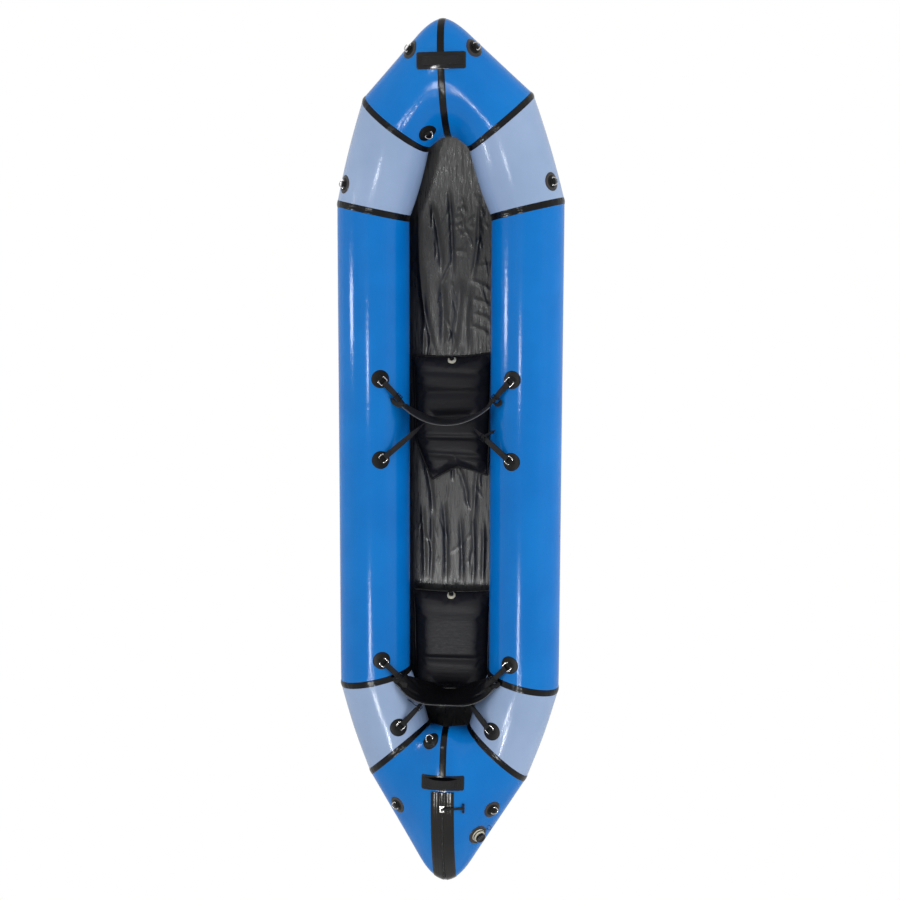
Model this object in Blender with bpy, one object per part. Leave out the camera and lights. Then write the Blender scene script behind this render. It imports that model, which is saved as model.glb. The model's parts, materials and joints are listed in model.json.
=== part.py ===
"""Two-seat packraft: a light inflatable boat of welded fabric tubes with a seat at each place.

Lengths are in metres, +Z is up and +Y points to the bow. The origin is on the ground, in the
middle of the boat's length and width. The hull is a ring of ten fabric panels round an open
cockpit, joined in mitred seams that black tapes cover. The floor sheet closes it underneath.
"""

from math import acos, asin, atan2, cos, hypot, pi, radians, sin, sqrt

import bmesh
import bpy
import numpy as np
from mathutils import Matrix, Vector
from mathutils.bvhtree import BVHTree

for old in list(bpy.data.objects):
    bpy.data.objects.remove(old, do_unlink=True)

# Clearances and small shared sizes
GAP = 0.0003                 # between pieces that touch on the real boat
RING_SIDES = 24              # points round every tube section, four quarters of six
FABRIC = 0.0010              # tube fabric
FLOOR_FABRIC = 0.0016        # heavier sheet underneath

# Hull, seen in plan
TUBE_RADIUS = 0.140
SIDE_OFFSET = 0.300          # boat's centreline to the axis of a side tube
SIDE_LENGTH = 1.850          # straight tubes between the bow and stern seams
SIDE_SEAM_ANGLE = radians(12.4)
CORNER_OFFSET = 0.198        # boat's centreline to the tube axis at a corner
CORNER_SPREAD = 0.015        # mitred section there is this much wider each way than the tube
CORNER_SINK = 0.003          # and this much lower
CORNER_HALF_WIDTH = TUBE_RADIUS + CORNER_SPREAD
CORNER_HALF_HEIGHT = TUBE_RADIUS - CORNER_SINK
END_SINK = 0.005             # oval sections on the centreline are this much lower each way
END_HALF_HEIGHT = TUBE_RADIUS - END_SINK
SHOULDER_SWELL = 0.006       # how far the inflated panels belly out
NOSE_ROUND = 0.055           # half width of the blunt nose and of the crest behind it
NOSE_BASE_SHARE = 0.52       # rounding that is there at every height, and what the blunt side adds
NOSE_BLUNT_SHARE = 0.48
NOSE_BLUNT_TURN = radians(60)
TAPE_WIDTH = 0.022
TAPE_THICK = 0.0010

# Bow, which sweeps up
BOW_SHOULDER_RUN = 0.320     # from the side seam to the corner
BOW_NOSE_RUN = 0.140         # from the corner to the middle of the centreline oval
BOW_CORNER_RISE = 0.062
BOW_CENTRE_RISE = 0.142
BOW_TILT = radians(36)       # of the centreline oval
BOW_ANGLE = radians(39)      # of the corner's mitre, in plan
BOW_HALF_LONG = 0.220        # half the length of the centreline oval
BOW_TIP_RADIUS = 0.085

# Stern, which runs out flat and long
STERN_SHOULDER_RUN = 0.295
STERN_NOSE_RUN = 0.196
STERN_CORNER_RISE = 0.012
STERN_CENTRE_RISE = 0.084
STERN_TILT = radians(-5)
STERN_ANGLE = radians(41)
STERN_HALF_LONG = 0.320
STERN_TIP_RADIUS = 0.090


class End:
    """Sizes of one end of the boat."""

    def __init__(self, name, sign, shoulder_run, nose_run, corner_rise, centre_rise, tilt, angle, half_long,
                 tip_radius):
        self.name, self.sign = name, sign
        self.shoulder_run, self.nose_run = shoulder_run, nose_run
        self.corner_rise, self.centre_rise = corner_rise, centre_rise
        self.tilt, self.angle = tilt, angle
        self.half_long, self.tip_radius = half_long, tip_radius


BOW = End("bow", 1, BOW_SHOULDER_RUN, BOW_NOSE_RUN, BOW_CORNER_RISE, BOW_CENTRE_RISE, BOW_TILT, BOW_ANGLE,
          BOW_HALF_LONG, BOW_TIP_RADIUS)
STERN = End("stern", -1, STERN_SHOULDER_RUN, STERN_NOSE_RUN, STERN_CORNER_RISE, STERN_CENTRE_RISE, STERN_TILT,
            STERN_ANGLE, STERN_HALF_LONG, STERN_TIP_RADIUS)

AXIS_HEIGHT = FLOOR_FABRIC + GAP + TAPE_THICK + GAP + TUBE_RADIUS


def reach(end):
    """How far the tip lies from the middle of the side tubes."""
    tip = hypot(end.half_long * cos(end.tilt), END_HALF_HEIGHT * sin(end.tilt))
    return SIDE_LENGTH / 2 + end.shoulder_run + end.nose_run + tip


SIDES_Y = (reach(STERN) - reach(BOW)) / 2      # middle of the side tubes, with the boat's ends centred
STERN_SEAM_Y = SIDES_Y - SIDE_LENGTH / 2


def finish(name, colour, roughness, metallic=0.0):
    """One material for one piece."""
    material = bpy.data.materials.new(name)
    material.use_nodes = True
    shader = material.node_tree.nodes["Principled BSDF"]
    shader.inputs["Base Color"].default_value = (*colour, 1.0)
    shader.inputs["Roughness"].default_value = roughness
    shader.inputs["Metallic"].default_value = metallic
    return material


BLUE = dict(colour=(0.011, 0.205, 0.610), roughness=0.28)
PALE = dict(colour=(0.352, 0.468, 0.672), roughness=0.28)
TAPE = dict(colour=(0.012, 0.012, 0.014), roughness=0.32)
FLOOR = dict(colour=(0.008, 0.008, 0.009), roughness=0.40)
WEBBING = dict(colour=(0.016, 0.016, 0.018), roughness=0.70)
CUSHION = dict(colour=(0.020, 0.020, 0.022), roughness=0.55)
PLASTIC = dict(colour=(0.015, 0.015, 0.016), roughness=0.35)
METAL = dict(colour=(0.55, 0.55, 0.56), roughness=0.25, metallic=1.0)
CREAM = dict(colour=(0.66, 0.62, 0.48), roughness=0.45)


FLAT = 1e-7                  # a face whose points leave its plane by more than this is cut into triangles


def bent(face):
    """Whether a face's points leave its plane."""
    middle = face.calc_center_median()
    return any(abs((corner.co - middle).dot(face.normal)) > FLAT for corner in face.verts)


def piece(name, points, faces, look):
    """A named object from points in world places."""
    mesh = bpy.data.meshes.new(name)
    mesh.from_pydata([tuple(map(float, p)) for p in points], [], faces)
    bm = bmesh.new()
    bm.from_mesh(mesh)
    bmesh.ops.recalc_face_normals(bm, faces=bm.faces)
    bmesh.ops.triangulate(bm, faces=[face for face in bm.faces if bent(face)])
    bm.to_mesh(mesh)
    bm.free()
    obj = bpy.data.objects.new(name, mesh)
    bpy.context.scene.collection.objects.link(obj)
    mesh.materials.append(finish(name, **look))
    return obj


def pivot(obj, place):
    """Puts a moving piece's origin on its joint's axis."""
    obj.data.transform(Matrix.Translation(-Vector(place)))
    obj.location = Vector(place)


def circle_shares(count):
    """Cosine and sine of evenly spread angles."""
    turn = np.arange(count) * 2 * pi / count
    return np.cos(turn), np.sin(turn)


def oval_shares(half_long, half_short, end_radius, count):
    """Points of a four-centred oval, closer together on the small arcs at its ends."""
    flat_radius = oval_flat_radius(half_long, half_short, end_radius)
    joint = acos((half_long - end_radius) / (flat_radius - end_radius))
    low = np.linspace(0, joint, 200)
    high = np.linspace(joint, pi / 2, 200)[1:]
    x = np.concatenate([half_long - end_radius + end_radius * np.cos(low), flat_radius * np.cos(high)])
    z = np.concatenate([end_radius * np.sin(low), half_short - flat_radius + flat_radius * np.sin(high)])
    length = np.concatenate([[0], np.cumsum(np.hypot(np.diff(x), np.diff(z)))])
    turn = np.concatenate([low, high])
    measure = length / length[-1] + turn / turn[-1]
    quarter = np.linspace(0, measure[-1], count // 4 + 1)
    qx, qz = np.interp(quarter, measure, x), np.interp(quarter, measure, z)
    xs = np.concatenate([qx[:-1], -qx[:0:-1], -qx[:-1], qx[:0:-1]])
    zs = np.concatenate([qz[:-1], qz[:0:-1], -qz[:-1], -qz[:0:-1]])
    return xs, zs


def oval_flat_radius(half_long, half_short, end_radius):
    """Radius of the long arcs that join the two end arcs smoothly at the stated half height."""
    run = half_long - end_radius
    return (run ** 2 + half_short ** 2 - end_radius ** 2) / (2 * (half_short - end_radius))


def section(centre, outward, up, half_width, half_height):
    """An elliptic tube section, starting at its outer side and going over the top."""
    c, s = circle_shares(RING_SIDES)
    return (np.array(centre) + np.outer(c * half_width, outward) + np.outer(s * half_height, up))


def hull_sections(end):
    """The right-hand sections of one end, from the side seam to the centreline."""
    seam_y = SIDES_Y + end.sign * SIDE_LENGTH / 2
    seam = np.array([SIDE_OFFSET, seam_y, AXIS_HEIGHT])
    corner = np.array([CORNER_OFFSET, seam_y + end.sign * end.shoulder_run, AXIS_HEIGHT + end.corner_rise])
    centre = np.array([0, corner[1] + end.sign * end.nose_run, AXIS_HEIGHT + end.centre_rise])
    climb_one = atan2(corner[2] - seam[2], hypot(*(corner - seam)[:2]))
    climb_two = atan2(centre[2] - corner[2], hypot(*(centre - corner)[:2]))

    def leaning(place, angle, lean, half_width, half_height):
        outward = np.array([cos(angle), end.sign * sin(angle), 0])
        ahead = np.array([-sin(angle), end.sign * cos(angle), 0])
        up = np.array([0, 0, cos(lean)]) - ahead * sin(lean)
        return section(place, outward, up, half_width, half_height)

    first = leaning(seam, SIDE_SEAM_ANGLE, climb_one / 2, TUBE_RADIUS / cos(SIDE_SEAM_ANGLE),
                    TUBE_RADIUS / cos(climb_one / 2))
    last = leaning(corner, end.angle, (climb_one + climb_two) / 2, CORNER_HALF_WIDTH, CORNER_HALF_HEIGHT)
    out = np.array([0, end.sign * cos(end.tilt), sin(end.tilt)])
    up = np.array([0, -end.sign * sin(end.tilt), cos(end.tilt)])
    xs, zs = oval_shares(end.half_long, END_HALF_HEIGHT, end.tip_radius, RING_SIDES)
    oval = centre + np.outer(xs, out) + np.outer(zs, up)
    return first, last, oval


NOSE_SHARES = (0.40, 0.80)       # straight stations between a corner and the rounding of the nose


def shoulder_rings(first, last):
    """Side seam to corner, with one swollen station between."""
    middle = (first + last) / 2
    outward = middle - middle.mean(axis=0)
    outward /= np.linalg.norm(outward, axis=1)[:, None]
    return [first, middle + outward * SHOULDER_SWELL, last]


def nose_rings(last, oval):
    """Corner to centreline: straight runs, then a rounding that is blunt outside and sharp in the V."""
    turn = np.arange(RING_SIDES) * 2 * pi / RING_SIDES
    width = NOSE_ROUND * (NOSE_BASE_SHARE + NOSE_BLUNT_SHARE * np.cos(turn - NOSE_BLUNT_TURN))
    control = oval + np.outer(width, (1, 0, 0))
    rings = [last] + [last + (control - last) * share for share in NOSE_SHARES]
    middle = (rings[-1] + 2 * control + oval) / 4
    return rings + [middle, oval]


def mirrored(rings):
    """The same rings on the left of the boat."""
    return [ring * np.array([-1, 1, 1]) for ring in rings]


def skin(rings):
    """Points and triangles of a run of rings, wound so that the triangles face outwards.

    Each four-sided field is split along its shorter diagonal, so layers over it split alike."""
    grid = np.array(rings)
    stations, count = grid.shape[:2]
    outward = grid[0, 0] - grid[0].mean(axis=0)
    normal = np.cross(grid[1, 0] - grid[0, 0], grid[0, 1] - grid[0, 0])
    triangles = []
    for i in range(stations - 1):
        for k in range(count):
            n = (k + 1) % count
            a, b, c, d = i * count + k, (i + 1) * count + k, (i + 1) * count + n, i * count + n
            if np.linalg.norm(grid[i, k] - grid[i + 1, n]) < np.linalg.norm(grid[i + 1, k] - grid[i, n]):
                triangles += [(a, b, c), (a, c, d)]
            else:
                triangles += [(a, b, d), (b, c, d)]
    if np.dot(normal, outward) < 0:
        triangles = [t[::-1] for t in triangles]
    return grid.reshape(-1, 3), triangles


EVEN_OUT = 1e-4      # keeps the sum below solvable where all faces at a point lie in one plane


def outward_steps(points, triangles):
    """At each point, the step that moves every adjoining triangle's plane out by one unit."""
    t = np.array(triangles)
    normal = np.cross(points[t[:, 1]] - points[t[:, 0]], points[t[:, 2]] - points[t[:, 0]])
    normal /= np.linalg.norm(normal, axis=1)[:, None]
    spread = np.zeros((len(points), 3, 3)) + np.eye(3) * EVEN_OUT
    total = np.zeros((len(points), 3))
    for corner in range(3):
        np.add.at(spread, t[:, corner], normal[:, :, None] * normal[:, None, :])
        np.add.at(total, t[:, corner], normal)
    return np.linalg.solve(spread, total[..., None])[..., 0]


def shell(name, rings, look, low, high, trim=0.0, before=None, after=None):
    """A wall between two offsets of a run of rings, open at both ends and cut back there by the trim.

    The neighbouring panels' rings, before and after, mitre the wall at the seams."""
    more = [r for r in (before,) if r is not None] + list(rings) + [r for r in (after,) if r is not None]
    steps = outward_steps(*skin(more)).reshape(len(more), RING_SIDES, 3)
    first = 0 if before is None else 1
    steps = steps[first:first + len(rings)].reshape(-1, 3)
    rings = [np.array(r) for r in rings]
    trimmed = [r.copy() for r in rings]
    for end, near in ((0, 1), (-1, -2)):
        run = rings[near] - rings[end]
        trimmed[end] = rings[end] + run / np.linalg.norm(run, axis=1)[:, None] * trim
    points, triangles = skin(trimmed)
    size = len(points)
    faces = triangles + [tuple(size + v for v in t[::-1]) for t in triangles]
    for start in (0, size - RING_SIDES):
        for k in range(RING_SIDES):
            a, b = start + k, start + (k + 1) % RING_SIDES
            faces.append((a, b, size + b, size + a))
    return piece(name, np.concatenate([points + steps * high, points + steps * low]), faces, look)


ENDS = (BOW, STERN)
SEAMS = {end.name: hull_sections(end) for end in ENDS}
SHOULDERS = {end.name: shoulder_rings(*SEAMS[end.name][:2]) for end in ENDS}
NOSES = {end.name: nose_rings(*SEAMS[end.name][1:]) for end in ENDS}
SIDE_RUN = [SEAMS["stern"][0], SEAMS["bow"][0]]
LEFT_RIGHT = (("left", mirrored), ("right", list))


def hull_panels():
    """Ten fabric panels, which are one air chamber when they are welded together."""
    for side, placed in LEFT_RIGHT:
        tube = placed(SIDE_RUN)
        beyond = [placed(SHOULDERS[end.name])[1] for end in (STERN, BOW)]
        shell(f"side_tube_{side}", tube, BLUE, -FABRIC, 0.0, GAP / 2, *beyond)
        for end in ENDS:
            far_seam = tube[0] if end is BOW else tube[1]
            shoulder, nose = placed(SHOULDERS[end.name]), placed(NOSES[end.name])
            shell(f"{end.name}_shoulder_{side}", shoulder, PALE, -FABRIC, 0.0, GAP / 2, far_seam, nose[1])
            across = mirrored(nose)[-2]
            shell(f"{end.name}_panel_{side}", nose, BLUE, -FABRIC, 0.0, GAP / 2, shoulder[1], across)


def box(name, centre, axes, sizes, look=TAPE):
    """A block with its own axes."""
    points = []
    for x, y, z in ((x, y, z) for z in (-0.5, 0.5) for y in (-0.5, 0.5) for x in (-0.5, 0.5)):
        points.append(np.array(centre) + sum(np.array(a) * h * w for a, h, w in zip(axes, (x, y, z), sizes)))
    faces = [(0, 2, 3, 1), (4, 5, 7, 6), (0, 1, 5, 4), (2, 6, 7, 3), (0, 4, 6, 2), (1, 3, 7, 5)]
    return piece(name, points, faces, look)


def combine(target, tool, operation):
    """Applies one Boolean to the target and removes the tool."""
    step = target.modifiers.new("cut", "BOOLEAN")
    step.operation, step.object, step.solver = operation, tool, "EXACT"
    bpy.context.view_layer.update()
    evaluated = target.evaluated_get(bpy.context.evaluated_depsgraph_get())
    result = bpy.data.meshes.new_from_object(evaluated)
    target.modifiers.clear()
    material = target.data.materials[0]
    target.data = result
    result.materials.clear()
    result.materials.append(material)
    bpy.data.objects.remove(tool, do_unlink=True)
    return target


def unit(vector):
    return np.array(vector) / np.linalg.norm(vector)


def plane_axes(ring):
    """Two directions in a ring's plane and the one across it."""
    along = unit(ring[0] - ring.mean(axis=0))
    across = unit(np.cross(along, ring[RING_SIDES // 4] - ring.mean(axis=0)))
    return along, np.cross(across, along), across


OVERRUN = 1.0                # cutters reach past the widest section
LAYER_ONE = (GAP, GAP + TAPE_THICK)                   # tapes and patches on the fabric
LAYER_TWO = LAYER_ONE[1] + GAP                        # what is bonded over a tape starts here
ZIP_START = 0.102            # zip begins this far towards the seats from the middle of the stern oval
ZIP_HALF_WIDTH = 0.0435
ZIP_TAPE_THICK = 0.0014


def seam_tape(name, before, seam, after):
    """A tape bent over one seam: the layer above the fabric, within half a tape's width of the seam."""
    tape = shell(name, [before, seam, after], TAPE, *LAYER_ONE)
    slab = box("slab", seam.mean(axis=0), plane_axes(seam), (OVERRUN, OVERRUN, TAPE_WIDTH))
    return combine(tape, slab, "INTERSECT")


def seam_tapes():
    """Ten tapes: two round each side, two at the corners of each end, one on each centreline."""
    for end in ENDS:
        other = SIDE_RUN[0] if end is BOW else SIDE_RUN[1]
        shoulder, nose = SHOULDERS[end.name], NOSES[end.name]
        for side, placed in LEFT_RIGHT:
            seam_tape(f"{end.name}_side_tape_{side}", *placed([other, shoulder[0], shoulder[1]]))
            seam_tape(f"{end.name}_corner_tape_{side}", *placed([shoulder[1], nose[0], nose[1]]))
        tape = seam_tape(f"{end.name}_centre_tape", mirrored([nose[-2]])[0], nose[-1], nose[-2])
        if end is STERN:
            combine(tape, zip_room("room", GAP), "DIFFERENCE")


def oval_frame(end):
    """Middle of an end's oval with its outward and upward directions."""
    oval = NOSES[end.name][-1]
    middle = (oval[0] + oval[RING_SIDES // 2]) / 2
    out = unit(oval[0] - middle)
    return middle, out, unit(oval[RING_SIDES // 4] - middle)


def zip_room(name, margin):
    """The block that holds the zip's band: the upper half of the stern oval from its start to the tip."""
    middle, out, up = oval_frame(STERN)
    length = STERN.half_long + ZIP_START + margin + TUBE_RADIUS
    centre = middle + out * (length / 2 - ZIP_START - margin) + up * (TUBE_RADIUS - margin / 2)
    width, height = 2 * (ZIP_HALF_WIDTH + margin), 2 * TUBE_RADIUS + margin
    return box(name, centre, ((1, 0, 0), out, up), (width, length, height))


# Floor sheet
FLOOR_ROWS = 30              # rows of the sheet from a side seam to the end of the floor
FLOOR_SLACK = 0.0026         # sheet's straight fields stay clear of the curved fabric
ROW_SAMPLES = 6
STRAIGHT_FIELDS = 10         # fields of the sheet between the side seams


def fabric_tree(rings):
    """The fabric's facets, for finding what lies under a place."""
    points, triangles = skin(rings)
    return BVHTree.FromPolygons([tuple(p) for p in points], triangles)


def between(rows, place):
    """The row at a fractional index."""
    low = min(int(place), len(rows) - 2)
    return rows[low] + (rows[low + 1] - rows[low]) * (place - low)


def floor_rows(end):
    """Rows of the floor's upper side from the side seam on: level, and just clear of the fabric above."""
    run = SHOULDERS[end.name][:-1] + NOSES[end.name]
    tree = fabric_tree(mirrored(run) + run[-2::-1])
    edge = np.array([ring.mean(axis=0) for ring in run])
    rows = []
    for step in range(FLOOR_ROWS + 1):
        x, y, _ = between(edge, step / FLOOR_ROWS * (len(edge) - 1))
        levels = []
        for sample in np.linspace(0, x, ROW_SAMPLES):
            hit, normal = tree.ray_cast(Vector((sample, y, -TUBE_RADIUS)), Vector((0, 0, 1)))[:2]
            if hit:
                levels.append(hit.z - (LAYER_TWO + FLOOR_SLACK * min(1, step)) / abs(normal.z))
        rows.append((x, y, max(min(levels), FLOOR_FABRIC) if step else FLOOR_FABRIC))
    return rows


def floor_sheet():
    """One sheet under the whole boat, welded below the tubes and rising with them at both ends."""
    points, order = [], []
    aft, fore = np.array(floor_rows(STERN)[::-1]), np.array(floor_rows(BOW))
    straight = [aft[-1] + (fore[0] - aft[-1]) * step / STRAIGHT_FIELDS for step in range(1, STRAIGHT_FIELDS)]
    for x, y, z in np.concatenate([aft, straight, fore]):
        row = [len(points)]
        points.append(np.array([x, y, z]))
        if x > GAP:
            row.append(len(points))
            points.append(np.array([-x, y, z]))
        order.append(row)
    size = len(points)
    faces = []
    for one, two in zip(order, order[1:]):
        loop = one + two[::-1]
        faces.append(tuple(loop))
        faces.append(tuple(size + v for v in loop[::-1]))
        for a, b in ((one[0], two[0]), (one[-1], two[-1])):
            faces.append((a, b, size + b, size + a))
    lower = [p - np.array([0, 0, FLOOR_FABRIC]) for p in points]
    return piece("floor", points + lower, faces, FLOOR)


# Anchor patches, their keepers and rings
PATCH_RADIUS = 0.035
PATCH_SIDES = 18
PATCH_THICK = 0.0020
WIRE_RADIUS = 0.0020
WIRE_SIDES = 6
RING_HALF_WIDTH = 0.0150     # wire centre to wire centre is twice this
RING_DEPTH = 0.0215
RING_LIFT = radians(22)      # a stiff webbing keeper holds a free ring this far off the fabric
KEEPER_WIDTH = 0.0200
KEEPER_FOOT = 0.0090
KEEPER_PAD = 0.0016
KEEPER_WALL = 0.0014
RUN_CLEAR = 0.0006           # wire to webbing
BAR_EASE = 0.0010            # wire to patch, so that a ring turns freely where the fabric bends
BAR_HEIGHT = GAP + PATCH_THICK + BAR_EASE + WIRE_RADIUS

# Where each patch sits: its panel, the share of the panel's run, and the angle over the tube from its
# outer side. The inner patches are on the left only.
ANCHOR_SHARES = {
    "bow_outer": ("bow_panel", 0.470, radians(28), ("left", "right")),
    "bow_inner": ("bow_panel", 0.420, radians(131), ("left",)),
    "bow_shoulder": ("bow_shoulder", 0.200, radians(38), ("left", "right")),
    "stern_outer": ("stern_panel", 0.245, radians(56), ("left", "right")),
    "stern_inner": ("stern_panel", 0.450, radians(144), ("left",)),
}
STRAP_SHARES = {
    "seat_front": ("side_tube", 0.655, radians(111)),
    "seat_rear": ("side_tube", 0.483, radians(111)),
    "rear_seat_front": ("side_tube", 0.046, radians(111)),
    "rear_seat_rear": ("stern_shoulder", 0.725, radians(114)),
}
PANEL_RUNS = {"side_tube": SIDE_RUN}
for end in ENDS:
    PANEL_RUNS[f"{end.name}_shoulder"] = SHOULDERS[end.name]
    PANEL_RUNS[f"{end.name}_panel"] = NOSES[end.name]


CUTTER_SHARE = 0.5           # a patch's cutter is this long, as a share of the tube's radius
UPRIGHT_SHARE = 0.9          # an axis with a larger upward part counts as upright


def surface_frame(rings, share, angle):
    """A point on the fabric with the outward direction of the facet that it lies in."""
    row = between(np.array(rings), share * (len(rings) - 1))
    guess = between(np.concatenate([row, row[:1]]), angle / (2 * pi) * RING_SIDES)
    outward = unit(guess - row.mean(axis=0))
    start = guess + outward * TUBE_RADIUS / 2
    hit, normal = fabric_tree(rings).ray_cast(Vector(start), Vector(-outward))[:2]
    normal = np.array(normal) * np.sign(np.dot(normal, outward))
    return np.array(hit), normal


def prism(name, centre, axis, radius, length, sides, look=TAPE):
    """A round block along an axis."""
    side = unit(np.cross(axis, (0, 0, 1) if abs(axis[2]) < UPRIGHT_SHARE else (1, 0, 0)))
    other = np.cross(axis, side)
    c, s = circle_shares(sides)
    ring = np.outer(c * radius, side) + np.outer(s * radius, other)
    points = np.concatenate([ring + centre - axis * length / 2, ring + centre + axis * length / 2])
    faces = [tuple(range(sides)), tuple(range(2 * sides - 1, sides - 1, -1))]
    faces += [(k, (k + 1) % sides, sides + (k + 1) % sides, sides + k) for k in range(sides)]
    return piece(name, points, faces, look)


def fabric_patch(name, rings, origin, normal, radius, look=TAPE):
    """A round patch that follows the facets of its panel."""
    stock = shell(name, rings, look, GAP, GAP + PATCH_THICK)
    cutter = prism("cutter", origin, normal, radius, TUBE_RADIUS * CUTTER_SHARE, PATCH_SIDES)
    return combine(stock, cutter, "INTERSECT")


def closed_sweep(name, path, plane_normal, look):
    """A wire bent round a closed flat path, mitred at its points."""
    path = np.array(path)
    turn = np.arange(WIRE_SIDES) * 2 * pi / WIRE_SIDES
    points = []
    for before, here, after in zip(np.roll(path, 1, axis=0), path, np.roll(path, -1, axis=0)):
        one, two = unit(here - before), unit(after - here)
        inward = unit(np.cross(plane_normal, one + two))
        stretch = 1 / sqrt((1 + np.dot(one, two)) / 2)
        for t in turn:
            points.append(here + WIRE_RADIUS * (inward * cos(t) * stretch + np.array(plane_normal) * sin(t)))
    faces = []
    count = len(path)
    for i in range(count):
        for k in range(WIRE_SIDES):
            a, b = i * WIRE_SIDES, ((i + 1) % count) * WIRE_SIDES
            n = (k + 1) % WIRE_SIDES
            faces.append((a + k, b + k, b + n, a + n))
    return piece(name, points, faces, look)


ARC_SHARES = tuple(radians(a) for a in (0, 24, 48, 72, 90, 108, 132, 156, 180))
SQUARE_SHARES = ((1, 0.00), (1, 0.82), (0.80, 1), (-0.80, 1), (-1, 0.82), (-1, 0.00))


def ring_path(bar, across, along, square):
    """Centre line of a D-ring, or of the squarer ring that a strap runs through."""
    if square:
        return [bar + across * RING_HALF_WIDTH * u + along * RING_DEPTH * v for u, v in SQUARE_SHARES]
    return [bar + across * RING_HALF_WIDTH * cos(t) + along * RING_DEPTH * sin(t) for t in ARC_SHARES]


def keeper(name, origin, normal, across, along, open_tunnel):
    """The folded webbing that holds a ring's bar: an arch over the bar and two sewn feet."""
    inner = WIRE_RADIUS + RUN_CLEAR
    outer = inner + KEEPER_WALL
    base = GAP + PATCH_THICK / 2
    arch = [radians(a) for a in (180, 144, 108, 72, 36, 0)]
    profile = [(-KEEPER_FOOT, base), (-KEEPER_FOOT, GAP + PATCH_THICK + KEEPER_PAD)]
    profile += [(outer * cos(a), BAR_HEIGHT + outer * sin(a)) for a in arch]
    profile += [(KEEPER_FOOT, GAP + PATCH_THICK + KEEPER_PAD), (KEEPER_FOOT, base)]
    if open_tunnel:
        profile += [(inner, base)] + [(inner * cos(a), BAR_HEIGHT + inner * sin(a)) for a in reversed(arch)]
        profile += [(-inner, base)]
    count = len(profile)
    points = []
    for side in (-0.5, 0.5):
        points += [origin + along * x + normal * z + across * side * KEEPER_WIDTH for x, z in profile]
    faces = [tuple(range(count)), tuple(range(2 * count - 1, count - 1, -1))]
    faces += [(k, (k + 1) % count, count + (k + 1) % count, count + k) for k in range(count)]
    return piece(name, points, faces, WEBBING)


def anchor(name, rings, share, angle, target=None):
    """A patch with its keeper. A strap's ring points at its target and is held by it; a free ring hangs."""
    origin, normal = surface_frame(rings, share, angle)
    aim = np.array([0, 0, -1.0]) if target is None else target - origin
    across = unit(np.cross(normal, aim))
    downhill = np.cross(across, normal)
    body = fabric_patch(name, rings, origin, normal, PATCH_RADIUS)
    combine(body, keeper("keeper", origin, normal, across, downhill, target is None), "UNION")
    bar = origin + normal * BAR_HEIGHT
    lift = RING_LIFT
    if target is not None:
        lift = max(atan2(np.dot(target - bar, normal), np.dot(target - bar, downhill)), RING_LIFT / 2)
    along = downhill * cos(lift) + normal * sin(lift)
    if target is not None:
        ring = closed_sweep("ring", ring_path(bar, across, along, True), np.cross(across, along), METAL)
        combine(body, ring, "UNION")
    return dict(bar=bar, across=across, along=along, normal=normal)


def free_anchors():
    """Eight tie-down patches, each with a ring that turns in its keeper."""
    for name, (run, share, angle, sides) in ANCHOR_SHARES.items():
        for side, placed in LEFT_RIGHT:
            if side not in sides:
                continue
            seat = anchor(f"anchor_{name}_{side}", placed(PANEL_RUNS[run]), share, angle)
            across, along, bar = seat["across"], seat["along"], seat["bar"]
            ring = closed_sweep(f"d_ring_{name}_{side}", ring_path(bar, across, along, False),
                                np.cross(across, along), METAL)
            pivot(ring, bar)


# Seats: a cushion, a backband that stands behind it, and four straps
CUSHION_HALF_WIDTH = 0.158
CUSHION_THICK = 0.096
CUSHION_DRAW_IN = 0.007      # sides pull in this far between the corners
CUSHION_NOTCH = 0.032        # V in the loose rear edge of the front seat
NOTCH_POWER = 4              # how quickly the V closes towards the middle of the cushion
CHANNEL_DEPTH_SHARE = 0.16
CHANNEL_WIDTH = 0.012
CROWN_POWER = 3.2            # 2 is a round pillow, and more is a flatter one
UNDER_SHARE = 1.06           # lower half is this much fuller, until it meets the floor
EDGE_GATHER_SHARE = 0.35     # how far the rows draw together at the ends
SEAT_LENGTH = 0.480
SEAT_REAR_SHARE = 0.4375     # front seat's rear edge, along the side tubes from the stern seam
SEAT_REAR = STERN_SEAM_Y + SIDE_LENGTH * SEAT_REAR_SHARE
REAR_SEAT_LENGTH = 0.420
REAR_SEAT_OVERHANG = 0.0826  # rear seat's rear edge, behind the stern seam
REAR_SEAT_REAR = STERN_SEAM_Y - REAR_SEAT_OVERHANG
SEAT_CHANNEL_SHARES = (0.18, 0.31, 0.46, 0.62, 0.81)
REAR_CHANNEL_SHARES = (0.34,)
SEAT_WIDTH_SHARES = (0.90, 0.97, 1.0, 1.0, 1.0)
REAR_WIDTH_SHARES = (0.66, 0.80, 0.94, 1.0, 1.0)
ACROSS_FIELDS = 10
ALONG_FIELDS = 26
CUSHION_REST = FLOOR_FABRIC + GAP


def crown(share):
    """Height of an inflated pillow across its width, from its middle at 0 to its seam at 1."""
    return sqrt(max(0.0, 1 - abs(share) ** CROWN_POWER))


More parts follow.
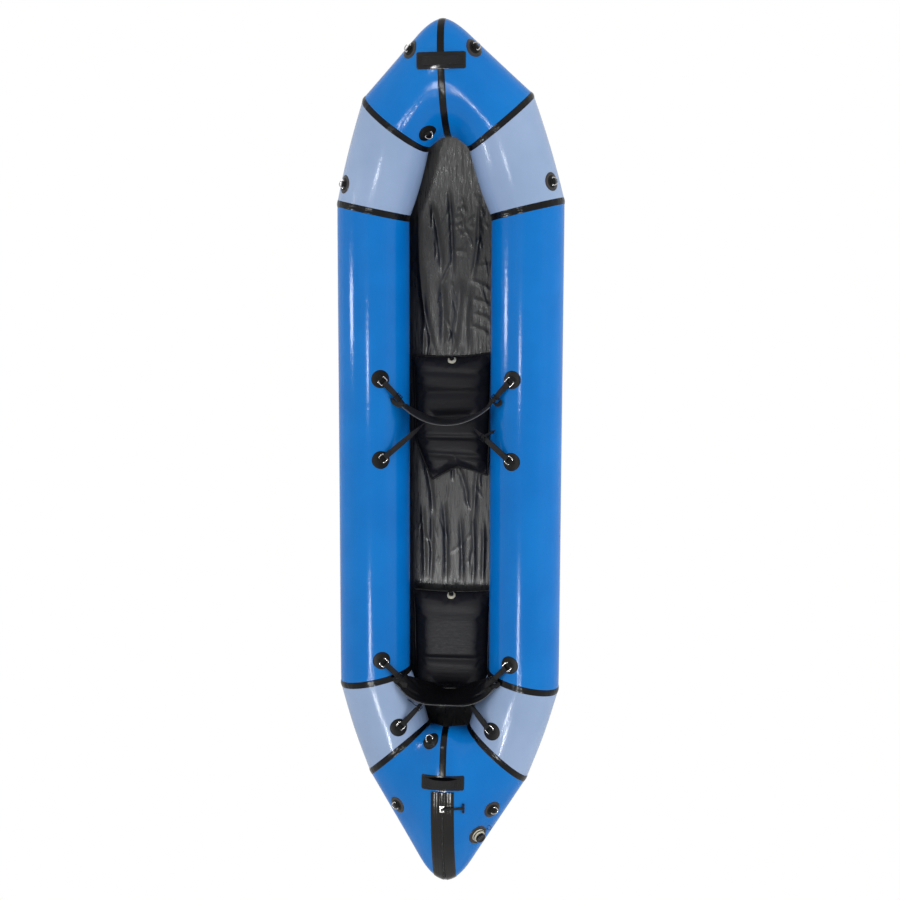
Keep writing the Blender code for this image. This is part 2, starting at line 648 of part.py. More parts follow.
def cushion(name, rear, length, width_shares, channel_shares, notch):
    """A crowned, channelled air cushion that rests flat on the floor."""
    middle = CUSHION_REST + CUSHION_THICK / 2
    across = [sin(pi / 2 * (2 * i / ACROSS_FIELDS - 1)) for i in range(ACROSS_FIELDS + 1)]
    even = [2 * j / ALONG_FIELDS - 1 for j in range(ALONG_FIELDS + 1)]
    along = [sin(pi / 2 * v) * EDGE_GATHER_SHARE + v * (1 - EDGE_GATHER_SHARE) for v in even]
    points, top, bottom = [], {}, {}
    for i, u in enumerate(across):
        for j, v in enumerate(along):
            share = (v + 1) / 2
            half = CUSHION_HALF_WIDTH * np.interp(share, np.linspace(0, 1, len(width_shares)), width_shares)
            x = u * (half - CUSHION_DRAW_IN * (1 - v * v))
            y = rear + length * share + notch * (1 - abs(u)) * (1 - share) ** NOTCH_POWER
            y -= v * CUSHION_DRAW_IN * (1 - u * u)
            height = crown(u) * crown(v) * CUSHION_THICK / 2
            dip = sum(np.exp(-(((share - c) * length) / CHANNEL_WIDTH) ** 2) for c in channel_shares)
            rim = abs(u) == 1 or abs(v) == 1
            top[i, j] = len(points)
            points.append((x, y, middle + height * (1 - CHANNEL_DEPTH_SHARE * dip)))
            bottom[i, j] = top[i, j]
            if not rim:
                bottom[i, j] = len(points)
                points.append((x, y, middle - min(height * UNDER_SHARE, CUSHION_THICK / 2)))
    faces = []
    for i in range(ACROSS_FIELDS):
        for j in range(ALONG_FIELDS):
            for grid, order in ((top, 1), (bottom, -1)):
                loop = (grid[i, j], grid[i + 1, j], grid[i + 1, j + 1], grid[i, j + 1])[::order]
                faces += [(loop[0], loop[1], loop[2]), (loop[0], loop[2], loop[3])]
    return piece(name, points, faces, CUSHION)


def turned(name, profile, origin, axis, sides, look):
    """A solid turned round an axis from (radius, height) points that start and end on it."""
    side = unit(np.cross(axis, (1, 0, 0)))
    other = np.cross(axis, side)
    c, s = circle_shares(sides)
    points, rows = [], []
    for radius, height in profile:
        centre = origin + axis * height
        if radius == 0:
            rows.append([len(points)] * sides)
            points.append(centre)
        else:
            rows.append(list(range(len(points), len(points) + sides)))
            points += list(centre + np.outer(c * radius, side) + np.outer(s * radius, other))
    faces = []
    for one, two in zip(rows, rows[1:]):
        for k in range(sides):
            n = (k + 1) % sides
            loop = []
            for v in (one[k], one[n], two[n], two[k]):
                if v not in loop:
                    loop.append(v)
            if len(loop) > 2:
                faces.append(tuple(loop))
    return piece(name, points, faces, look)


class Valve:
    """Sizes of one valve: a flange and boss with a blind socket, and a capped plug in it."""

    def __init__(self, flange, flange_height, boss, boss_height, socket, floor, knob, knob_height, sides):
        self.flange, self.flange_height = flange, flange_height
        self.boss, self.boss_height = boss, boss_height
        self.socket, self.floor = socket, floor
        self.knob, self.knob_height, self.sides = knob, knob_height, sides


SEAT_VALVE = Valve(flange=0.0170, flange_height=0.0030, boss=0.0105, boss_height=0.0070, socket=0.0065,
                   floor=0.0020, knob=0.0100, knob_height=0.0085, sides=16)
MAIN_VALVE = Valve(flange=0.0270, flange_height=0.0055, boss=0.0210, boss_height=0.0140, socket=0.0140,
                   floor=0.0060, knob=0.0190, knob_height=0.0120, sides=20)
PLUG_CLEAR = 0.0004
KNOB_EDGE = 0.0015


def valve_body(valve, name, origin, axis, sink, look):
    profile = [(0, -sink), (valve.flange, -sink), (valve.flange, valve.flange_height),
               (valve.boss, valve.flange_height), (valve.boss, valve.boss_height),
               (valve.socket, valve.boss_height), (valve.socket, valve.floor), (0, valve.floor)]
    return turned(name, profile, origin, axis, valve.sides, look)


def valve_cap(valve, name, origin, axis):
    low, seat = valve.floor + PLUG_CLEAR, valve.boss_height + PLUG_CLEAR
    plug = valve.socket - PLUG_CLEAR
    top = seat + valve.knob_height
    profile = [(0, low), (plug, low), (plug, seat), (valve.knob, seat), (valve.knob, top - KNOB_EDGE),
               (valve.knob - KNOB_EDGE, top), (0, top)]
    return turned(name, profile, origin, axis, valve.sides, PLASTIC)


SEAT_VALVE_AXIS = unit((0, 1, 1))
SEAT_VALVE_INSET = 0.019     # valve seat behind the cushion's front corners
SEAT_VALVE_RISE = 0.020      # and above it
SEAT_VALVE_SINK = 0.0060


def seat_valve(body, name, front):
    """A twist valve welded into the front edge of a cushion."""
    origin = np.array([0, front - SEAT_VALVE_INSET, CUSHION_REST + CUSHION_THICK / 2 + SEAT_VALVE_RISE])
    flange = valve_body(SEAT_VALVE, "flange", origin, SEAT_VALVE_AXIS, SEAT_VALVE_SINK, CREAM)
    combine(body, flange, "UNION")
    pivot(valve_cap(SEAT_VALVE, name, origin, SEAT_VALVE_AXIS), origin)


# Backbands and their straps
BAND_HALF_SPAN = 0.168
BAND_BOW = 0.073             # how far the ends stand forward of the middle
BAND_THICK = 0.012
BAND_TOP = 0.292
BAND_END_TOP = 0.276
BAND_END_BOTTOM = 0.215
BAND_FLAT_SHARE = 0.42       # share of the half span with the full height
BAND_FIELDS = 14
SEAT_BAND_SET = 0.222        # middle of the front band, ahead of its cushion's rear edge
SEAT_BAND_Y = SEAT_REAR + SEAT_BAND_SET
REAR_BAND_SET = 0.018
REAR_BAND_Y = REAR_SEAT_REAR + REAR_BAND_SET
BAND_EDGE_SHARE = 0.32       # rounding of the padded edge, as a share of the thickness
STRAP_WIDTH = 0.0220
STRAP_THICK = 0.0016
STRAP_ROOT = 0.014           # strap sewn into the end of the band
STRAP_TAIL = 0.028
STRAP_LOOP = WIRE_RADIUS + RUN_CLEAR + STRAP_THICK / 2
REAR_STRAP_HALF = 0.075      # rear strap lies on the back of the band this far each way
REAR_STRAP_HEIGHT = 0.242
STRAP_EASE = 0.0024          # strap lifts this far off the band where it bends away
RUN_STEPS = 6
LOOP_TURNS = tuple(radians(a) for a in (-90, -120, -150, -180, -210, -240, -270))


def band_place(middle_y, x, offset=0.0):
    """A point on a backband's plan curve, moved forward by the offset."""
    slope = 2 * BAND_BOW * x / BAND_HALF_SPAN ** 2
    forward = unit((-slope, 1, 0))
    return np.array([x, middle_y + BAND_BOW * (x / BAND_HALF_SPAN) ** 2, 0]) + forward * offset


def backband(name, middle_y):
    """A padded panel, tall in the middle and narrow at the ends where the straps are sewn in."""
    bottom = CUSHION_REST + CUSHION_THICK + GAP
    half, edge = BAND_THICK / 2, BAND_THICK * BAND_EDGE_SHARE
    points, rows = [], []
    for x in np.linspace(-BAND_HALF_SPAN, BAND_HALF_SPAN, BAND_FIELDS + 1):
        taper = max(0.0, (abs(x) / BAND_HALF_SPAN - BAND_FLAT_SHARE) / (1 - BAND_FLAT_SHARE))
        low = bottom + (BAND_END_BOTTOM - bottom) * taper
        high = BAND_TOP + (BAND_END_TOP - BAND_TOP) * taper
        outline = [(-half, low + edge), (-half + edge, low), (half - edge, low), (half, low + edge),
                   (half, high - edge), (half - edge, high), (-half + edge, high), (-half, high - edge)]
        rows.append(range(len(points), len(points) + len(outline)))
        points += [band_place(middle_y, x, o) + np.array([0, 0, z]) for o, z in outline]
    faces = [tuple(rows[0]), tuple(rows[-1])]
    for one, two in zip(rows, rows[1:]):
        for k in range(len(one)):
            n = (k + 1) % len(one)
            faces.append((one[k], one[n], two[n], two[k]))
    return piece(name, points, faces, WEBBING)


def ribbon(name, stations, width, thick):
    """Flat webbing through (point, width direction) stations, mitred where it bends."""
    places = [np.array(place) for place, _ in stations]
    points, faces = [], []
    wide_before = stations[0][1]
    for i, (place, wide) in enumerate(stations):
        into = unit(place - places[i - 1]) if i else unit(places[1] - place)
        out = unit(places[i + 1] - place) if i + 1 < len(places) else into
        run = unit(into + out)
        wide = unit(wide - run * np.dot(wide, run))
        wide = wide if np.dot(wide, wide_before) > 0 else -wide
        wide_before = wide
        face = np.cross(run, wide) / np.dot(run, out)
        for w, f in ((-0.5, -0.5), (0.5, -0.5), (0.5, 0.5), (-0.5, 0.5)):
            points.append(place + wide * w * width + face * f * thick)
    for i in range(len(stations) - 1):
        for k in range(4):
            n = (k + 1) % 4
            faces.append((4 * i + k, 4 * i + n, 4 * i + 4 + n, 4 * i + 4 + k))
    last = 4 * (len(stations) - 1)
    faces += [(0, 1, 2, 3), (last, last + 1, last + 2, last + 3)]
    return piece(name, points, faces, WEBBING)


UP = np.array([0, 0, 1.0])


def strap_run(seat, goal):
    """Stations of a strap: its tail, the turn round the ring's outer bar, and the twisting run on."""
    bar = seat["bar"] + seat["along"] * RING_DEPTH
    wide = seat["across"]
    away = unit((goal - bar) - wide * np.dot(goal - bar, wide))
    face = np.cross(away, wide)
    face = face if np.dot(face, seat["normal"]) > 0 else -face
    stations = [(bar + away * STRAP_TAIL - face * STRAP_LOOP, wide)]
    stations += [(bar + (away * cos(t) + face * sin(t)) * STRAP_LOOP, wide) for t in LOOP_TURNS]
    start = stations[-1][0]
    upright = UP if np.dot(UP, wide) > 0 else -UP
    for step in range(1, RUN_STEPS + 1):
        twist = (step - 1) / (RUN_STEPS - 1)
        stations.append((start + (goal - start) * step / RUN_STEPS, wide * (1 - twist) + upright * twist))
    return stations


def seat_back(prefix, middle_y, front, rear):
    """A backband with its two front straps in one piece, and a rear strap in one length behind it."""
    height = (BAND_END_TOP + BAND_END_BOTTOM) / 2
    behind = -BAND_THICK / 2 - 2 * GAP - STRAP_THICK / 2
    body = backband(f"{prefix}_backband", middle_y)
    runs = {}
    for side, placed in LEFT_RIGHT:
        sign = 1 if side == "right" else -1
        for place, (run, share, angle) in (("front", STRAP_SHARES[front]), ("rear", STRAP_SHARES[rear])):
            if place == "front":
                goal = band_place(middle_y, sign * (BAND_HALF_SPAN - STRAP_ROOT)) + UP * height
            else:
                goal = band_place(middle_y, sign * REAR_STRAP_HALF, behind - STRAP_EASE)
                goal = goal + UP * REAR_STRAP_HEIGHT
            seat = anchor(f"anchor_{prefix}_{place}_{side}", placed(PANEL_RUNS[run]), share, angle, goal)
            runs[place, side] = strap_run(seat, goal)
    for side in ("left", "right"):
        combine(body, ribbon("strap", runs["front", side], STRAP_WIDTH, STRAP_THICK), "UNION")
    inner = [(band_place(middle_y, x, behind) + UP * REAR_STRAP_HEIGHT, UP)
             for x in np.linspace(-REAR_STRAP_HALF, REAR_STRAP_HALF, RUN_STEPS + 1)[1:-1]]
    ribbon(f"{prefix}_rear_strap", runs["rear", "left"] + inner + runs["rear", "right"][::-1],
           STRAP_WIDTH, STRAP_THICK)


# Grab handles
class Handle:
    """Sizes of one grab handle: a patch on the crest and a webbing arch over it."""

    def __init__(self, end, ahead, patch_long, patch_wide, bar_long, bar_wide):
        self.end, self.ahead = end, ahead
        self.patch_long, self.patch_wide = patch_long, patch_wide
        self.bar_long, self.bar_wide = bar_long, bar_wide


# How far each handle lies ahead of the middle of its end's oval, its patch's sizes and its bar's sizes
HANDLES = (Handle(BOW, 0.0314, 0.177, 0.058, 0.158, 0.031),
           Handle(STERN, -0.1354, 0.166, 0.056, 0.140, 0.035))
HANDLE_THICK = 0.0030
HANDLE_BED = 0.0012          # webbing pressed this deep into its patch
HANDLE_LIFT = 0.027
HANDLE_SHARES = ((1.0, 0.0), (0.84, 0.0), (0.70, 0.34), (0.56, 0.66), (0.40, 0.88), (0.20, 0.98), (0.0, 1.0))
CORNER_SHARE = 0.28          # rounding of a handle patch, as a share of its width
CORNER_STEPS = 4
ABOVE_SHARE = 3.0            # times the tube's radius: a height over all the fabric


def whole_end(end):
    """The rings of one end from its left corner over the centreline to its right corner."""
    nose = NOSES[end.name]
    return mirrored(nose) + nose[-2::-1]


def drop(tree, place, normal):
    """The point of the fabric under a place, seen along a normal."""
    return np.array(tree.ray_cast(Vector(place + normal * TUBE_RADIUS), Vector(-normal))[0])


def crest_frame(tree, y, reach_each_way):
    """A point on the centreline at the given place, and the outward direction there."""
    above = TUBE_RADIUS * ABOVE_SHARE
    ahead = drop(tree, np.array([0, y + reach_each_way, above]), UP)
    back = drop(tree, np.array([0, y - reach_each_way, above]), UP)
    normal = unit(np.cross((1, 0, 0), ahead - back))
    return drop(tree, np.array([0, y, above]), UP), normal


def rounded_block(name, centre, axes, long, wide, height):
    """A block with rounded upright edges."""
    radius = wide * CORNER_SHARE
    outline = []
    for quarter, (sx, sy) in enumerate(((1, 1), (-1, 1), (-1, -1), (1, -1))):
        for step in range(CORNER_STEPS):
            t = pi / 2 * (quarter + step / (CORNER_STEPS - 1))
            corner_x, corner_y = sx * (long / 2 - radius), sy * (wide / 2 - radius)
            outline.append((corner_x + radius * cos(t), corner_y + radius * sin(t)))
    count = len(outline)
    points = [centre + axes[0] * x + axes[1] * y + axes[2] * side * height / 2
              for side in (-1, 1) for x, y in outline]
    faces = [tuple(range(count)), tuple(range(2 * count - 1, count - 1, -1))]
    faces += [(k, (k + 1) % count, count + (k + 1) % count, count + k) for k in range(count)]
    return piece(name, points, faces, TAPE)


def grab_handle(handle):
    """A rounded patch over the crest with a raised strip of webbing sewn to it."""
    rings = whole_end(handle.end)
    tree = fabric_tree(rings)
    across = np.array([1.0, 0, 0])
    place_y = oval_frame(handle.end)[0][1] + handle.end.sign * handle.ahead
    middle, normal = crest_frame(tree, place_y, handle.patch_wide / 2)
    ahead = np.cross(normal, across)
    name = f"{handle.end.name}_handle"
    patch = shell(name, rings, TAPE, LAYER_TWO, LAYER_TWO + PATCH_THICK)
    cutter = rounded_block("cutter", middle, (across, ahead, normal), handle.patch_long, handle.patch_wide,
                           TUBE_RADIUS)
    combine(patch, cutter, "INTERSECT")
    level = LAYER_TWO + PATCH_THICK - HANDLE_BED + HANDLE_THICK / 2
    feet = {}
    for share in (s for s, rise in HANDLE_SHARES if not rise):
        ground = drop(tree, middle + across * handle.bar_long / 2 * share, normal)
        feet[share] = np.dot(ground - middle, normal) + level
    inner_foot = min(feet)
    stations = []
    for sign in (-1, 1):
        for share, rise in HANDLE_SHARES[::-sign] if sign > 0 else HANDLE_SHARES:
            if sign > 0 and share == 0:
                continue
            height = feet.get(share, feet[inner_foot] + (level + HANDLE_LIFT - feet[inner_foot]) * rise)
            stations.append((middle + across * sign * share * handle.bar_long / 2 + normal * height, ahead))
    combine(patch, ribbon("bar", stations, handle.bar_wide, HANDLE_THICK), "UNION")


# Zip along the stern, with its slider and pull
TOOTH_PITCH = 0.0080
TOOTH_LONG_SHARE = 0.62      # share of the pitch that is tooth
TOOTH_HALF = 0.0042          # tooth reaches this far to its own side
TOOTH_BACK = 0.0012          # and this far over the middle
TOOTH_HEIGHT = 0.0016        # above the band
COMB_BED = 0.0006            # comb starts this far above the fabric, inside the band
COMB_START = -0.088          # along the oval from its middle, towards the seats
SLIDER_PLACE = -0.048
SLIDER_LONG = 0.024
SLIDER_HALF = 0.0085
SLIDER_WALL = 0.0032
SLIDER_ROOF = 0.0026
SLIDE_CLEAR = 0.0005
POST_LONG = 0.0040
POST_HALF = 0.0028
PIN_RADIUS = 0.0015
PIN_HEIGHT = 0.0052
PIN_SIDES = 8
EYE_RADIUS = 0.0040
EYE_LONG = 0.0110
EYE_SIDES = 12
PULL_STRIP_WIDE = 0.0090
PULL_STRIP_THICK = 0.0024
PULL_END = 0.082             # pull's bar lies this far to the right
PULL_BAR_LONG = 0.0360
PULL_BAR_RADIUS = 0.0045
PULL_CLEAR = 0.0020
FLAT_TURN = asin((STERN.half_long - STERN.tip_radius)
                 / (oval_flat_radius(STERN.half_long, END_HALF_HEIGHT, STERN.tip_radius) - STERN.tip_radius))


class Crest:
    """The long upper arc of the stern oval: its centre, its radius and the fabric's facets there."""

    def __init__(self):
        middle, self.out, self.up = oval_frame(STERN)
        self.radius = oval_flat_radius(STERN.half_long, END_HALF_HEIGHT, STERN.tip_radius)
        self.centre = middle + self.up * (END_HALF_HEIGHT - self.radius)
        oval = NOSES["stern"][-1]
        loop = [oval[k % RING_SIDES] for k in range(RING_SIDES // 2 + 1)]
        dense = np.concatenate([np.linspace(a, b, RING_SIDES) for a, b in zip(loop, loop[1:])]) - self.centre
        self.turns = np.arctan2(dense @ self.out, dense @ self.up)[::-1]
        self.facets = np.linalg.norm(dense, axis=1)[::-1]

    def place(self, turn, height, x=0.0):
        """A point over the true arc."""
        spoke = self.up * cos(turn) + self.out * sin(turn)
        return self.centre + spoke * (self.radius + height) + np.array([x, 0, 0])

    def bed(self, turn, height, x=0.0):
        """A point over the facets."""
        spoke = self.up * cos(turn) + self.out * sin(turn)
        return self.centre + spoke * (np.interp(turn, self.turns, self.facets) + height) + np.array([x, 0, 0])

    def axes(self, turn):
        spoke = self.up * cos(turn) + self.out * sin(turn)
        return np.array([1.0, 0, 0]), self.out * cos(turn) - self.up * sin(turn), spoke


def zip_band():
    """The zip's tape with a comb of teeth that interlock over the centreline."""
    crest = Crest()
    rings = whole_end(STERN)
    band = shell("zip_band", rings, TAPE, GAP, GAP + ZIP_TAPE_THICK)
    combine(band, zip_room("room", 0.0), "INTERSECT")
    first = asin(COMB_START / crest.radius)
    count = int((FLAT_TURN - first) * crest.radius / TOOTH_PITCH)
    pitch = TOOTH_PITCH / crest.radius
    stations = []
    for tooth in range(count):
        left, right = (TOOTH_HALF, TOOTH_BACK) if tooth % 2 else (TOOTH_BACK, TOOTH_HALF)
        start = first + tooth * pitch
        stations += [(start, left, right), (start + pitch * TOOTH_LONG_SHARE, left, right)]
        stations += [(start + pitch * TOOTH_LONG_SHARE + GAP / crest.radius, TOOTH_BACK, TOOTH_BACK),
                     (start + pitch - GAP / crest.radius, TOOTH_BACK, TOOTH_BACK)]
    points, faces = [], []
    top = GAP + ZIP_TAPE_THICK + TOOTH_HEIGHT
    for turn, left, right in stations:
        points += [crest.bed(turn, COMB_BED, -left), crest.bed(turn, COMB_BED, right),
                   crest.place(turn, top, right), crest.place(turn, top, -left)]
    for i in range(len(stations) - 1):
        for k in range(4):
            n = (k + 1) % 4
            faces.append((4 * i + k, 4 * i + n, 4 * i + 4 + n, 4 * i + 4 + k))
    last = 4 * (len(stations) - 1)
    faces += [(0, 1, 2, 3), (last, last + 1, last + 2, last + 3)]
    combine(band, piece("comb", points, faces, TAPE), "UNION")


def zip_slider():
    """A channelled slider over the comb, with a pin on two posts, and the pull that hangs on the pin."""
    crest = Crest()
    turn = asin(SLIDER_PLACE / crest.radius)
    across, ahead, spoke = crest.axes(turn)
    walls_low = GAP + ZIP_TAPE_THICK + SLIDE_CLEAR
    roof_low = GAP + ZIP_TAPE_THICK + TOOTH_HEIGHT + SLIDE_CLEAR
    roof_top = roof_low + SLIDER_ROOF
    inner = SLIDER_HALF - SLIDER_WALL
    axes = (across, ahead, spoke)
    height = roof_top - walls_low
    body = box("zip_slider", crest.place(turn, (walls_low + roof_top) / 2), axes,
               (2 * SLIDER_HALF, SLIDER_LONG, height), METAL)
    middle = crest.place(turn, roof_low - height / 2)
    channel = box("channel", middle, axes, (2 * inner, 2 * SLIDER_LONG, height))
    combine(body, channel, "DIFFERENCE")
    pin = roof_top + PIN_HEIGHT
    bed = roof_low + SLIDER_ROOF / 2
    for side in (-1, 1):
        reach_out = ahead * side * (SLIDER_LONG / 2 - POST_LONG)
        post = box("post", crest.place(turn, (bed + pin + POST_HALF) / 2) + reach_out, axes,
                   (2 * POST_HALF, POST_LONG, pin + POST_HALF - bed))
        combine(body, post, "UNION")
    bar = prism("bar", crest.place(turn, pin), ahead, PIN_RADIUS, SLIDER_LONG - 2 * POST_LONG, PIN_SIDES)
    combine(body, bar, "UNION")
    pivot(body, crest.centre)
    axis = crest.place(turn, pin)
    tree = fabric_tree(whole_end(STERN))
    lying = GAP + PULL_BAR_RADIUS + PULL_CLEAR
    end = drop(tree, axis + across * PULL_END, spoke) + spoke * lying
    run = unit(end - axis)
    side = np.cross(ahead, run)
    eye = prism("zip_pull", axis, ahead, EYE_RADIUS, EYE_LONG, EYE_SIDES, PLASTIC)
    strip = box("strip", (axis + run * EYE_RADIUS / 2 + end) / 2, (run, ahead, side),
                (np.linalg.norm(end - axis) - EYE_RADIUS / 2, PULL_STRIP_WIDE, PULL_STRIP_THICK))
    combine(eye, strip, "UNION")
    combine(eye, prism("end", end, ahead, PULL_BAR_RADIUS, PULL_BAR_LONG, PIN_SIDES), "UNION")
    combine(eye, prism("hole", axis, ahead, PIN_RADIUS + SLIDE_CLEAR, 2 * EYE_LONG, EYE_SIDES), "DIFFERENCE")
    pivot(eye, axis)


# Main valve on the right of the stern
MAIN_VALVE_SHARE = 0.405
MAIN_VALVE_ANGLE = radians(54)
VALVE_BED_THICK = 0.0040
VALVE_BED_MARGIN = 0.0040
VALVE_SINK = -0.0010         # flat flange starts just over the highest point of the fabric


def main_valve():
    """A wide flange on the stern with a cap that turns in it."""
    rings = NOSES["stern"]
    origin, normal = surface_frame(rings, MAIN_VALVE_SHARE, MAIN_VALVE_ANGLE)
    stock = shell("main_valve", rings, CREAM, GAP, GAP + VALVE_BED_THICK)
    radius = MAIN_VALVE.flange + VALVE_BED_MARGIN
    bed = prism("cutter", origin, normal, radius, TUBE_RADIUS * CUTTER_SHARE, MAIN_VALVE.sides)
    combine(stock, bed, "INTERSECT")
    combine(stock, valve_body(MAIN_VALVE, "flange", origin, normal, VALVE_SINK, CREAM), "UNION")
    pivot(valve_cap(MAIN_VALVE, "main_valve_cap", origin, normal), origin)


hull_panels()
seam_tapes()
floor_sheet()
free_anchors()
seat_back("seat", SEAT_BAND_Y, "seat_front", "seat_rear")
seat_back("rear_seat", REAR_BAND_Y, "rear_seat_front", "rear_seat_rear")
for made in HANDLES:
    grab_handle(made)
zip_band()
zip_slider()
main_valve()
seat = cushion("seat_cushion", SEAT_REAR, SEAT_LENGTH, SEAT_WIDTH_SHARES, SEAT_CHANNEL_SHARES, CUSHION_NOTCH)
seat_valve(seat, "seat_valve_cap", SEAT_REAR + SEAT_LENGTH)
seat = cushion("rear_seat_cushion", REAR_SEAT_REAR, REAR_SEAT_LENGTH, REAR_WIDTH_SHARES, REAR_CHANNEL_SHARES,
               notch=0.0)
seat_valve(seat, "rear_seat_valve_cap", REAR_SEAT_REAR + REAR_SEAT_LENGTH)

SMOOTH_ANGLE = radians(32)   # facets that meet at less are one round surface
for obj in bpy.data.objects:
    obj.data.polygons.foreach_set("use_smooth", np.ones(len(obj.data.polygons), bool))
    obj.data.set_sharp_from_angle(angle=SMOOTH_ANGLE)
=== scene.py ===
# %% [markdown]
# # A two-seat packraft
# This lesson dresses a imported CAD model of a packraft: a slim inflatable boat made of coated fabric
# tubes. The CAD solids are the frame. Everything soft gets its own finer piece that lies where the
# solid is, and so do the rings and valves. Only the zip's slider and pull keep their solids and get better
# materials.

# %% Load the frame
import json
from math import acos, atan2, cos, hypot, pi, radians, sin, sqrt

import bmesh
import bpy
import numpy as np
from mathutils import Matrix, Vector
from mathutils.bvhtree import BVHTree

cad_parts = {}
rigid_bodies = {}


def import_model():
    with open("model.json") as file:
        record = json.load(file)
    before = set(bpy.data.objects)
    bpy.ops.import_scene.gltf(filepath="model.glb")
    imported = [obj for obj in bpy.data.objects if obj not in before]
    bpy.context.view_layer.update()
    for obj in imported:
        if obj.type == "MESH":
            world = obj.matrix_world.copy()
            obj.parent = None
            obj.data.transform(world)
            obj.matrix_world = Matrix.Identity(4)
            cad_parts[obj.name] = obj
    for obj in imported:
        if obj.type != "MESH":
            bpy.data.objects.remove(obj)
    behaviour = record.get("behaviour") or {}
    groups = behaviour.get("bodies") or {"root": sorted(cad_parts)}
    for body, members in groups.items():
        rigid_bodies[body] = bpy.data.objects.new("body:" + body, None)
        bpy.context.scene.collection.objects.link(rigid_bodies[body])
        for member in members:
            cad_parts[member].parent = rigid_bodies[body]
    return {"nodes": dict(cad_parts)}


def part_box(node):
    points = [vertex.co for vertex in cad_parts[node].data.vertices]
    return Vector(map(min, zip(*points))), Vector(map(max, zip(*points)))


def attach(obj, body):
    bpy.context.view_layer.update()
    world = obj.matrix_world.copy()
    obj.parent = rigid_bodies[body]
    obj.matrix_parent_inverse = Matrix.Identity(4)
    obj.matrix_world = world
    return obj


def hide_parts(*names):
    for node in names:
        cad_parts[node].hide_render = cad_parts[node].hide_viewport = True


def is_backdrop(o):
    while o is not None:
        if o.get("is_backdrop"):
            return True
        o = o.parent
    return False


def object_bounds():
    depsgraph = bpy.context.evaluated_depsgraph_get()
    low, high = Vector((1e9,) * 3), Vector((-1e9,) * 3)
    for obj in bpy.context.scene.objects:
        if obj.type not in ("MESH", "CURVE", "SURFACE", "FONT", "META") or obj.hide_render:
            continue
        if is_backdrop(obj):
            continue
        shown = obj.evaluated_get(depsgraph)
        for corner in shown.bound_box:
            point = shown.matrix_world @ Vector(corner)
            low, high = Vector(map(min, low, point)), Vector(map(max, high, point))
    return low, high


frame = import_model()
cad_box = [list(corner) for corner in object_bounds()]
chance = np.random.default_rng(11)


def new_object(name, data):
    """An object in the scene, made of a mesh, a lamp or a camera."""
    obj = bpy.data.objects.new(name, data)
    bpy.context.scene.collection.objects.link(obj)
    return obj


def ride_on(obj, body, slot, *nodes):
    """Says which body a piece moves with and hides the CAD solids that it replaces. Its slot is not used."""
    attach(obj, body)
    if nodes:
        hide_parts(*nodes)


# %% [markdown]
# ## Camera, light and floor
# The boat is photographed from above, a little from its right, so the camera hangs 4.5 m over it.
# The photo's background is plain white, so the floor and the world show white to the camera alone.
# Two large lamps and the world give the soft light. Four narrow strips, seen only as reflections,
# draw the long highlights along the tubes.

# %% Camera
VIEW_PLACE = Vector((0.5173, 0.5230, 4.5363))
VIEW_TURN = (Matrix.Rotation(-0.0142, 3, "Z") @ Matrix.Rotation(-0.1162, 3, "Y")
             @ Matrix.Rotation(0.1024, 3, "X"))
LENS_MM, SENSOR_MM = 45.095, 36.0
camera = new_object("camera", bpy.data.cameras.new("camera"))
camera.data.lens, camera.data.sensor_width = LENS_MM, SENSOR_MM
camera.data.clip_end = 50.0
camera.matrix_world = Matrix.Translation(VIEW_PLACE) @ VIEW_TURN.transposed().to_4x4()
bpy.context.scene.camera = camera
bpy.context.scene.view_settings.view_transform = "Standard"
print("camera at", [round(v, 3) for v in camera.location])

# %% [markdown]
# ## A small language for shaders
# All materials are built from the same few steps: a noise, a range, a mix of two colours and a bump.
# Three small classes give these steps short names, so that a material reads as a few lines.


# %% A small language for shaders
class Value:
    """One output socket. Sums on it add Math nodes, so shader maths reads as Python."""

    def __init__(self, nodes, socket):
        self.nodes, self.socket = nodes, socket

    def math(self, operation, other=0.0):
        node = self.nodes.tree.nodes.new("ShaderNodeMath")
        node.operation = operation
        for place, side in enumerate((self, other)):
            self.nodes.join(side, node.inputs[place])
        return Value(self.nodes, node.outputs[0])

    def __add__(self, other):
        return self.math("ADD", other)

    def __mul__(self, other):
        return self.math("MULTIPLY", other)

    def wave(self):
        return self.math("SINE")


class Nodes:
    """A shader tree, and short ways to add nodes to it."""

    def __init__(self, tree):
        self.tree = tree

    def join(self, value, socket):
        if isinstance(value, Value):
            self.tree.links.new(value.socket, socket)
        else:
            socket.default_value = value

    def node(self, kind, settings=None, output=0, **values):
        made = self.tree.nodes.new("ShaderNode" + kind)
        for name, setting in (settings or {}).items():
            setattr(made, name, setting)
        for name, value in values.items():
            self.join(value, made.inputs[name.replace("_", " ")])
        return Value(self, made.outputs[output])

    def split(self, vector):
        """The X, Y and Z of a vector."""
        node = self.tree.nodes.new("ShaderNodeSeparateXYZ")
        self.join(vector, node.inputs[0])
        return [Value(self, output) for output in node.outputs]

    def noise(self, where, scale, detail=2.0, rough=0.5):
        return self.node("TexNoise", Vector=where, Scale=scale, Detail=detail, Roughness=rough)

    def stretched(self, where, sizes):
        return self.node("Mapping", Vector=where, Scale=sizes)

    def mixed(self, share, dark, light):
        node = self.tree.nodes.new("ShaderNodeMix")
        node.data_type = "RGBA"
        for place, value in ((0, share), (6, dark), (7, light)):
            self.join(value, node.inputs[place])
        return Value(self, node.outputs[2])

    def range(self, value, low, high, to_low, to_high):
        return self.node("MapRange", Value=value, From_Min=low, From_Max=high, To_Min=to_low,
                         To_Max=to_high)

    def bump(self, height, distance, **under):
        return self.node("Bump", Strength=1.0, Distance=distance, Height=height, **under)


